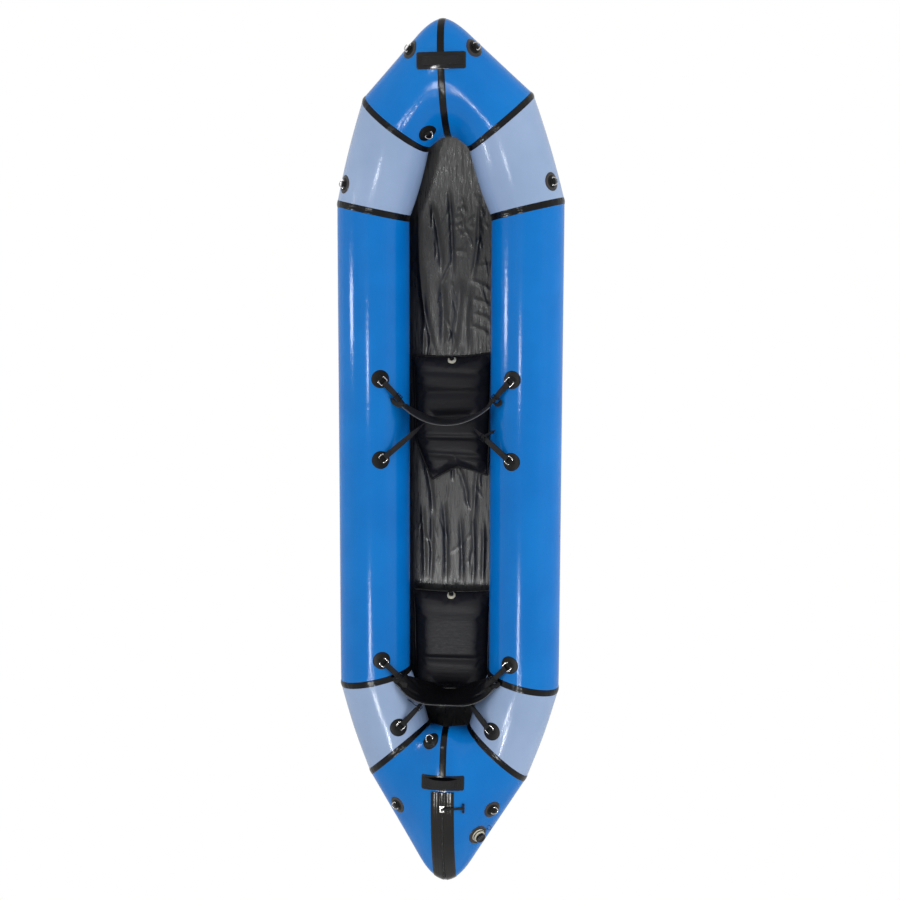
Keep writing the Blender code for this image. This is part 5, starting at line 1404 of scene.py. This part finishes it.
for prefix, middle_y in BAND_Y.items():
    back_band(prefix)
    for side in ("left", "right"):
        _, points, wides, _ = RUNS[prefix, "front", side]
        ride_on(webbing(f"{prefix}_front_strap_{side}", points, wides, STRAP_WIDE, STRAP_THICK, black_web),
                "hull", "webbing_black")
    path, wides = (list(part) for part in RUNS[prefix, "rear", "left"][1:3])
    for x in np.linspace(-REAR_HALF, REAR_HALF, 17)[1:-1]:
        path.append(band_place(middle_y, x, STRAP_BEHIND) + UP * REAR_HIGH)
        wides.append(UP)
    path += RUNS[prefix, "rear", "right"][1][::-1]
    wides += RUNS[prefix, "rear", "right"][2][::-1]
    for i in range(1, len(wides)):
        wides[i] = wides[i] if np.dot(wides[i], wides[i - 1]) > 0 else -wides[i]
    strap = webbing(f"{prefix}_rear_strap_web", path, wides, STRAP_WIDE, STRAP_THICK, black_web)
    ride_on(strap, "hull", "webbing_black", f"{prefix}_rear_strap")

# share of each buckle along its strap, from the ring
BUCKLES = {("seat", "front", "left"): 0.60, ("seat", "front", "right"): 0.62,
           ("seat", "rear", "right"): 0.58, ("rear_seat", "front", "left"): 0.62,
           ("rear_seat", "front", "right"): 0.62, ("rear_seat", "rear", "left"): 0.66}
for (prefix, where, side), share in BUCKLES.items():
    _, points, wides, _ = RUNS[prefix, where, side]
    spot, run = strap_at(points, share)
    wide = unit(np.array(wides[RUN_START + round(share * RUN_STEPS)]))
    wide = unit(wide - run * np.dot(wide, run))
    face = np.cross(run, wide)
    face = face if face[2] > 0 else -face
    centre = spot + face * 0.0032
    ride_on(ladder_buckle(f"{prefix}_{where}_buckle_{side}", centre, run, wide, face),
            "hull", "plastic_black")
    sign = -1 if side == "left" else 1
    away = unit(np.array([sign * 0.75, -0.65 if where == "front" else 0.5, 0.0]))
    droop = [centre - run * 0.004, centre + face * 0.004 + away * 0.008, centre + away * 0.022 + UP * 0.002,
             centre + away * 0.036 - UP * 0.006, centre + away * 0.046 - UP * 0.018 - run * 0.006]
    if where == "front" and side == "right":
        ring = [centre + away * 0.015 + (away * cos(t) + UP * sin(t) * 0.5 + run * sin(t) * 0.85) * 0.014
                for t in np.radians(range(150, -181, -30))]
        droop = [centre - run * 0.004, *ring]
    wides = [wide] * len(droop)
    if where == "front" and side == "left":
        droop = [centre - run * 0.004, centre + np.array([-0.016, 0.002, 0.003]),
                 centre + np.array([-0.024, -0.008, -0.002]), centre + np.array([-0.014, -0.022, -0.004]),
                 centre + np.array([0.006, -0.030, 0.0]), centre + np.array([0.030, -0.034, 0.004])]
        wides = [wide, wide, (0.5, 0.7, 0.5), (0.4, 0.9, 0.1), (0.15, 1.0, 0.0), (0.1, 1.0, 0.0)]
    path, wides = smooth_line(droop, 5), smooth_line(wides, 5)
    tail = webbing(f"{prefix}_{where}_tail_{side}", path, wides, STRAP_WIDE * 0.92, STRAP_THICK, black_web)
    ride_on(tail, "hull", "webbing_black")
print("straps and buckles:", len(RUNS), len(BUCKLES))

# %% [markdown]
# ## Grab handles
# A rectangular patch is bonded over the crest at each end, and an arch of doubled webbing is sewn to
# its two ends.

# %% Handles
# how far it lies ahead of the oval's middle, length and width of the patch, length and width of the webbing
HANDLES = {"bow": (0.0314, 0.177, 0.058, 0.158, 0.031), "stern": (0.1354, 0.166, 0.056, 0.140, 0.035)}
HANDLE_THICK, HANDLE_LIFT, PATCH_HIGH = 0.0030, 0.027, 0.0016
OVERHEAD, CORNER_ROUND = 0.52, 0.006
PATCH_SHARES = (0.01, 0.2, 0.4, 0.6, 0.8, 0.9, 0.96, 0.985, 1.0, 1.0)
# share of the half length, and share of the full lift, from the foot to the middle
ARCH = ((1.0, 0.0), (0.84, 0.0), (0.70, 0.34), (0.56, 0.66), (0.40, 0.88), (0.20, 0.98), (0.0, 1.0))
patch_gloss = moulded("glossy_handle_patch", (0.002, 0.002, 0.003, 1), (0.005, 0.005, 0.006, 1), 0.12,
                      shine=0.4)


def rounded_outline(long, wide, radius):
    """A rectangle with rounded corners, as a closed line of points."""
    def corner(quarter, t):
        sx, sy = ((1, 1), (-1, 1), (-1, -1), (1, -1))[quarter % 4]
        return np.array([sx * (long / 2 - radius) + radius * cos(t),
                         sy * (wide / 2 - radius) + radius * sin(t)])

    spots = []
    for quarter in range(4):
        spots += [corner(quarter, pi / 2 * (quarter + step / 6)) for step in range(7)]
        start, end = spots[-1], corner(quarter + 1, pi / 2 * (quarter + 1))
        spots += [start + (end - start) * s for s in np.arange(1, 16) / 16]
    return np.array(spots)


for name, (ahead_by, patch_long, patch_wide, bar_long, bar_wide) in HANDLES.items():
    y = oval_frame(name)[0][1] + ahead_by
    over = [laid(np.array([0, y + s * patch_wide / 2, OVERHEAD]), UP, 0.0, 0.0) for s in (-1, 1)]
    across, normal = np.array([1.0, 0, 0]), unit(np.cross((1, 0, 0), over[1] - over[0]))
    middle, ahead = laid(np.array([0, y, OVERHEAD]), UP, 0.0, 0.0), np.cross(normal, (1, 0, 0))
    outline = rounded_outline(patch_long, patch_wide, CORNER_ROUND)
    rows = []
    for share in PATCH_SHARES:
        rise = PATCH_HIGH + PATCH_THICK * rim_height(share, 0.96, 0.04)
        rise = SKIRT if len(rows) == len(PATCH_SHARES) - 1 else rise
        rows.append([laid(middle + across * a * share + ahead * b * share, normal, rise)
                     for a, b in outline])
    patch = grid_piece("patch", rows, patch_gloss, caps=True, flip=True)
    level = PATCH_HIGH + PATCH_THICK + HANDLE_THICK / 2
    feet = {s: np.dot(laid(middle + across * bar_long / 2 * s, normal, 0.0) - middle, normal) + level
            for s in (1.0, 0.84)}
    spots = []
    for sign in (-1, 1):
        for share, rise in ARCH if sign < 0 else ARCH[-2::-1]:
            height = feet.get(share, feet[0.84] + (level + HANDLE_LIFT - feet[0.84]) * rise)
            spots.append(middle + across * sign * share * bar_long / 2 + normal * height)
    path = smooth_line(spots, 6)
    arch = webbing("arch", path, np.broadcast_to(ahead, path.shape), bar_wide, HANDLE_THICK, black_web)
    for sign in (-1, 1):
        foot = [middle + across * sign * s * bar_long / 2 + normal * (feet[1.0] + HANDLE_THICK / 2)
                for s in (0.98, 0.84)]
        ends = [f + ahead * w * bar_wide * SEW_REACH for f in foot for w in (-1, 1)]
        for a, b in ((0, 1), (2, 3), (0, 2), (1, 3), (0, 3), (1, 2)):
            stitch([ends[a], ends[b]], normal)
    ride_on(joined(f"{name}_handle_web", [patch, arch]), "hull", "tape_black", f"{name}_handle")
print("handles:", len(HANDLES))

# %% [markdown]
# ## The zip along the stern
# A wide tape with lengthwise grooves covers the crest from behind the rear handle to the tip, where
# its beads sink in and a V of stitches marks the zip's end. Its teeth are set by Geometry Nodes: one
# tooth is repeated along the crest at the pitch of the zip, and every second one is moved to the
# other side so that they interlock. The slider and its pull are the ones from the CAD part, because
# they move.

# %% Zip band
zip_look = coated_fabric("zip_coated_tape", (0.007, 0.006, 0.006, 1), (0.013, 0.011, 0.010, 1), 0.17,
                         shine=0.30)
# share of the half width, and height in thicknesses: two grooves and a bead on each side
ZIP_PROFILE = [(-1.0, -0.5), (-0.995, 0.2), (-0.96, 0.9), (-0.80, 1.0), (-0.66, 1.0), (-0.62, 0.55),
               (-0.58, 1.0), (-0.46, 1.05), (-0.42, 0.6), (-0.38, 1.1), (-0.28, 1.25), (-0.20, 1.7),
               (-0.155, 1.8), (-0.130, 0.8), (-0.06, 0.6)]
ZIP_PROFILE += [(0.0, 0.55)] + [(-x, h) for x, h in ZIP_PROFILE[::-1]]
ZIP_THICK, ZIP_FADE, ZIP_DOWN = 0.0014, 0.060, 0.0022
TEETH_FROM, TEETH_SHORT, TEETH_UP = 0.085, 0.012, 0.0007
TOOTH_PITCH, TOOTH_LONG, TOOTH_HIGH, TOOTH_WIDE, TOOTH_SHIFT = 0.0040, 0.0026, 0.0018, 0.0054, 0.0015
middle, out, _ = oval_frame("stern")
crest_line = (np.array(HULL["stern_panel", "left"][-1]) * (0, 1, 1))[:AROUND // 2]
keep = int(np.argmax((crest_line - middle) @ out < -ZIP_START))
crest_line = crest_line[:keep + 1]
steps = walked(crest_line)
marks = np.linspace(0, steps[-1] - (crest_line[-1] - middle + out * ZIP_START) @ -out, 170)
crest_line = np.stack([np.interp(marks, steps, crest_line[:, i]) for i in range(3)], axis=1)
ahead = unit_rows(np.gradient(crest_line, axis=0))
crest_out = unit_rows(np.cross((1.0, 0, 0), ahead))
crest_out *= np.sign((crest_out * (crest_line - middle)).sum(axis=1))[:, None]
rows, uvs = [], []
for spot, normal, mark in zip(crest_line, crest_out, marks):
    fade = min(1.0, mark / ZIP_FADE)
    rows.append([laid(spot + np.array([x * ZIP_HALF, 0, 0]), normal,
                      ZIP_THICK * (h * fade + (1 - fade) * min(h, 1.0)) + GAP) for x, h in ZIP_PROFILE])
    uvs.append([(x * ZIP_HALF + ZIP_HALF, mark) for x, _ in ZIP_PROFILE])
first, last = (np.array(rows[end]) - crest_out[end] * ZIP_DOWN for end in (0, -1))
rows, uvs = np.array([first, *rows, last]), np.array([uvs[0], *uvs, uvs[-1]])
band = grid_piece("zip_tape", rows, zip_look, closed=False, uv=uvs, flip=outward_flip(rows))
ride_on(band, "hull", "tape_black", "zip_band")
end_spots = [laid(crest_line[i] + np.array([x, 0, 0]), crest_out[i], ZIP_THICK + 0.0006)
             for i, x in ((34, -0.030), (40, 0.0), (34, 0.030))]
for a, b in zip(end_spots, end_spots[1:]):
    stitch(np.linspace(a, b, 8), crest_out[36])
print("zip band:", len(band.data.polygons), "fields,", round(marks[-1] * 1000), "mm")

# %% [markdown]
# ### Teeth and stitches by Geometry Nodes
# Both trees take a line, cut it into even steps, put one small shape on each step and turn it along
# the line. The teeth's tree also moves every second tooth to the other side.


# %% Geometry Nodes
class Graph:
    """A Geometry Nodes tree with named inputs."""

    def __init__(self, name, inputs):
        self.tree = bpy.data.node_groups.new(name, "GeometryNodeTree")
        face = self.tree.interface
        self.ids = {}
        face.new_socket("Geometry", in_out="INPUT", socket_type="NodeSocketGeometry")
        for label, kind in inputs:
            self.ids[label] = face.new_socket(label, in_out="INPUT", socket_type=kind).identifier
        face.new_socket("Geometry", in_out="OUTPUT", socket_type="NodeSocketGeometry")
        self.start = self.tree.nodes.new("NodeGroupInput")
        self.end = self.tree.nodes.new("NodeGroupOutput")

    def add(self, kind, settings=None, **links):
        node = self.tree.nodes.new(kind)
        for key, value in (settings or {}).items():
            setattr(node, key, value)
        for key, value in links.items():
            numbered = key[0] == "n" and key[1:].isdigit()
            socket = node.inputs[int(key[1:]) if numbered else key.replace("_", " ")]
            if hasattr(value, "is_output"):
                self.tree.links.new(value, socket)
            else:
                socket.default_value = value
        return node

    def given(self, label):
        return self.start.outputs[label]

    def run(self, name, mesh, values):
        """Runs the tree over a mesh and returns what it made as a plain mesh object."""
        obj = new_object(name, mesh)
        nodes = obj.modifiers.new("nodes", "NODES")
        nodes.node_group = self.tree
        for label, value in values.items():
            nodes[self.ids[label]] = value
        return baked(obj)


def line_mesh(name, lines):
    """Lines of points as a mesh that has only edges."""
    points, edges = [], []
    for line in lines:
        base = len(points)
        points += [tuple(p) for p in line]
        edges += [(base + i, base + i + 1) for i in range(len(line) - 1)]
    mesh = bpy.data.meshes.new(name)
    mesh.from_pydata(points, edges, [])
    return mesh


def repeat_graph(name, teeth):
    """Repeats a shape along lines: blocks that are shifted in turn for teeth, or else round stitches."""
    graph = Graph(name, [("Pitch", "NodeSocketFloat"), ("Long", "NodeSocketFloat"),
                         ("Thick", "NodeSocketFloat"), ("Material", "NodeSocketMaterial")])
    curve = graph.add("GeometryNodeMeshToCurve", Mesh=graph.given("Geometry"))
    even = graph.add("GeometryNodeResampleCurve", {"mode": "LENGTH"}, Curve=curve.outputs[0],
                     Length=graph.given("Pitch"))
    tangent = graph.add("GeometryNodeInputTangent")
    if teeth:
        size = graph.add("ShaderNodeCombineXYZ", X=TOOTH_WIDE, Y=graph.given("Long"), Z=graph.given("Thick"))
        small = graph.add("GeometryNodeMeshCube", Size=size.outputs[0])
        turn = graph.add("FunctionNodeAlignRotationToVector", {"axis": "Y", "pivot_axis": "X"},
                         Vector=tangent.outputs[0])
    else:
        small = graph.add("GeometryNodeMeshCylinder", Vertices=6, Radius=graph.given("Thick"),
                          Depth=graph.given("Long"))
        turn = graph.add("FunctionNodeAlignRotationToVector", {"axis": "Z"}, Vector=tangent.outputs[0])
    placed = graph.add("GeometryNodeInstanceOnPoints", Points=even.outputs[0], Instance=small.outputs[0],
                       Rotation=turn.outputs[0])
    made = placed.outputs[0]
    if teeth:
        index = graph.add("GeometryNodeInputIndex")
        odd = graph.add("ShaderNodeMath", {"operation": "MODULO"}, n0=index.outputs[0], n1=2.0)
        aside = graph.add("ShaderNodeMath", {"operation": "MULTIPLY_ADD"}, n0=odd.outputs[0],
                          n1=2 * TOOTH_SHIFT, n2=-TOOTH_SHIFT)
        move = graph.add("ShaderNodeCombineXYZ", X=aside.outputs[0])
        shifted = graph.add("GeometryNodeTranslateInstances", Instances=made, Translation=move.outputs[0])
        made = shifted.outputs[0]
    real = graph.add("GeometryNodeRealizeInstances", Geometry=made)
    dressed = graph.add("GeometryNodeSetMaterial", Geometry=real.outputs[0], Material=graph.given("Material"))
    graph.tree.links.new(dressed.outputs[0], graph.end.inputs[0])
    return graph


tooth_look = moulded("moulded_zip_tooth", (0.005, 0.005, 0.006, 1), (0.012, 0.012, 0.013, 1), 0.20)
tooth_line = [spot + normal * (ZIP_THICK * 0.55 + GAP + TEETH_UP)
              for spot, normal, mark in zip(crest_line, crest_out, marks)
              if TEETH_FROM < mark < marks[-1] - TEETH_SHORT]
teeth = repeat_graph("zip_teeth_tree", True).run(
    "zip_teeth", line_mesh("crest", [tooth_line]),
    {"Pitch": TOOTH_PITCH, "Long": TOOTH_LONG, "Thick": TOOTH_HIGH, "Material": tooth_look.material})
ride_on(teeth, "hull", "tape_black")
lines = [line + out * 0.0002 for line, out in STITCHES]
stitches = repeat_graph("stitch_tree", False).run(
    "webbing_stitches", line_mesh("stitch_lines", lines),
    {"Pitch": 0.0026, "Long": 0.0019, "Thick": 0.00032, "Material": thread.material})
ride_on(stitches, "hull", "webbing_black")
print("teeth:", len(teeth.data.polygons) // 6, "stitches:", len(stitches.data.polygons) // 8)

# %% [markdown]
# ## Valves
# The boat is filled through the large valve on the right of the stern, and each cushion through a
# small twist valve in its front edge. A valve is a cream flange with two rings and a ribbed black cap.


# %% Valves
def revolved(name, profile, origin, axis, look, sides=56, ribs=None):
    """A turned piece. ribs is (count, depth, from row, to row) for a gripping edge."""
    side = unit(np.cross(axis, (1, 0, 0)))
    other, turns = np.cross(axis, side), full_turn(sides)
    rows = []
    for i, (radius, height) in enumerate(profile):
        reach_out = np.full(sides, max(radius, 0.0002))
        if ribs and ribs[2] <= i <= ribs[3]:
            reach_out = reach_out - ribs[1] * (0.5 + 0.5 * np.cos(turns * ribs[0])) ** 2
        rows.append(origin + axis * height + np.outer(np.cos(turns), side) * reach_out[:, None]
                    + np.outer(np.sin(turns), other) * reach_out[:, None])
    return grid_piece(name, rows, look, caps=True)


def valve_pair(body_name, cap_name, origin, axis, size, extra=()):
    """The flange on the hull and the cap in its boss."""
    flange, flange_high, boss, boss_high, knob, knob_high, sink = size
    ring = [(0.0, -sink), (flange, -sink), (flange, flange_high * 0.35), (flange * 0.985, flange_high * 0.6),
            (flange * 0.95, flange_high * 0.75), (boss * 1.10, flange_high), (boss * 1.02, flange_high * 1.1),
            (boss, flange_high * 1.5), (boss, boss_high * 0.55), (boss * 1.10, boss_high * 0.60),
            (boss * 1.12, boss_high * 0.75), (boss * 1.10, boss_high * 0.90), (boss * 0.96, boss_high),
            (boss * 0.70, boss_high), (0.0, boss_high)]
    parts = [revolved("flange", ring, origin, axis, cream_plastic), *extra]
    ride_on(joined(f"{body_name}_flange", parts), "hull", "valve_cream", *([body_name] if extra else []))
    low, edge = boss_high + 0.0004, 0.0016 if knob > 0.012 else 0.0009
    top = low + knob_high
    cap = [(0.0, low), (knob * 0.96, low), (knob, low + edge * 0.6), (knob, low + knob_high * 0.3),
           (knob, low + knob_high * 0.6), (knob, top - edge), (knob * 0.97, top - edge * 0.4),
           (knob - edge * 1.4, top), (knob * 0.66, top), (knob * 0.62, top - edge * 0.6),
           (0.0, top - edge * 0.6)]
    knob_piece = revolved(f"{cap_name}_knob", cap, origin, axis, black_plastic, sides=120,
                          ribs=(20, knob * 0.055, 2, 5))
    ride_on(knob_piece, cap_name, "plastic_black", cap_name)


# radius and height of the flange, of the boss and of the cap, and how far the flange is sunk
MAIN_SIZE = (0.0270, 0.0055, 0.0210, 0.0140, 0.0190, 0.0120, 0.0010)
SEAT_SIZE = (0.0170, 0.0030, 0.0105, 0.0070, 0.0100, 0.0085, 0.0060)
SEAT_VALVE_BACK, SEAT_VALVE_HIGH = 0.019, 0.0699
MAIN_AT, MAIN_AXIS = np.array([0.132995, -1.433114, 0.292042]), unit((0.631947, -0.305056, 0.712449))
BED_RADIUS, BED_THICK, NECK_HIGH = 0.040, 0.0030, 0.0072
TETHER_REACH, HOOK_REACH, EYE_RADIUS = 0.0232, 0.0235, 0.0080
TETHER_WIRE, EYE_WIRE, LINK_WIRE, HOOK_WIRE = 0.0016, 0.0011, 0.0012, 0.0010
place = dict(origin=MAIN_AT, normal=MAIN_AXIS, across=unit(np.cross(MAIN_AXIS, UP)))
place["downhill"] = np.cross(place["across"], MAIN_AXIS)
bed = patch_disc("bed", place, grey_rubber, radius=BED_RADIUS, thick=BED_THICK, rings=9, count=64)
neck = MAIN_AT + MAIN_AXIS * NECK_HIGH
strap_ring = wire("tether", [neck + (place["across"] * cos(t) + place["downhill"] * sin(t)) * TETHER_REACH
                             for t in np.radians(range(0, 360, 9))], TETHER_WIRE, black_plastic)
hang = np.array([0.180, -1.387, 0.326])
toward = unit(hang - neck - MAIN_AXIS * np.dot(hang - neck, MAIN_AXIS))
flat = unit(np.cross(toward, MAIN_AXIS))
facing = unit(np.array(VIEW_PLACE) - hang)
eye_side = unit(np.cross(facing, toward))
eye = wire("eye", [hang + (eye_side * cos(t) + np.cross(facing, eye_side) * sin(t)) * EYE_RADIUS
                   for t in np.radians(range(0, 360, 12))], EYE_WIRE, black_plastic)
root = neck + toward * TETHER_REACH
link = smooth_line([root, (root + hang) / 2 + MAIN_AXIS * 0.002, hang + unit(neck - hang) * 0.0078], 6)
link = wire("link", link, LINK_WIRE, black_plastic, closed=False)
hook_at = neck - toward * HOOK_REACH
hook = smooth_line([hook_at, hook_at - toward * 0.007 + MAIN_AXIS * 0.003,
                    hook_at - toward * 0.012 + flat * 0.003, hook_at - toward * 0.013 + flat * 0.008], 5)
hook = wire("hook", hook, HOOK_WIRE, black_plastic, closed=False)
valve_pair("main_valve", "main_valve_cap", MAIN_AT, MAIN_AXIS, MAIN_SIZE, (bed, strap_ring, eye, link, hook))
for name, size in CUSHIONS.items():
    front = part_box(name)[0][1] + size["length"] - SEAT_VALVE_BACK
    valve_pair(f"{name}_valve", name.replace("cushion", "valve_cap"),
               np.array([0, front, SEAT_VALVE_HIGH]), unit((0, 1, 1)), SEAT_SIZE)
print("valves: 3")

# %% [markdown]
# ## The pieces kept from the CAD part
# The zip's slider and pull keep their CAD shapes and get their own looks.

# %% Looks of the kept pieces
KEPT = {"zip_slider": steel, "zip_pull": black_plastic}
for name, look in KEPT.items():
    node = frame["nodes"][name]
    node.data.materials.clear()
    node.data.materials.append(look.material)
print("kept from the CAD part:", ", ".join(KEPT))

# %% [markdown]
# ## Sizes
# The sizes of the finished model are set beside those of the CAD part.

# %% Sizes and the end
visual_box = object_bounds()
{"cad": [list(c) for c in cad_box], "visual": [list(c) for c in visual_box]}
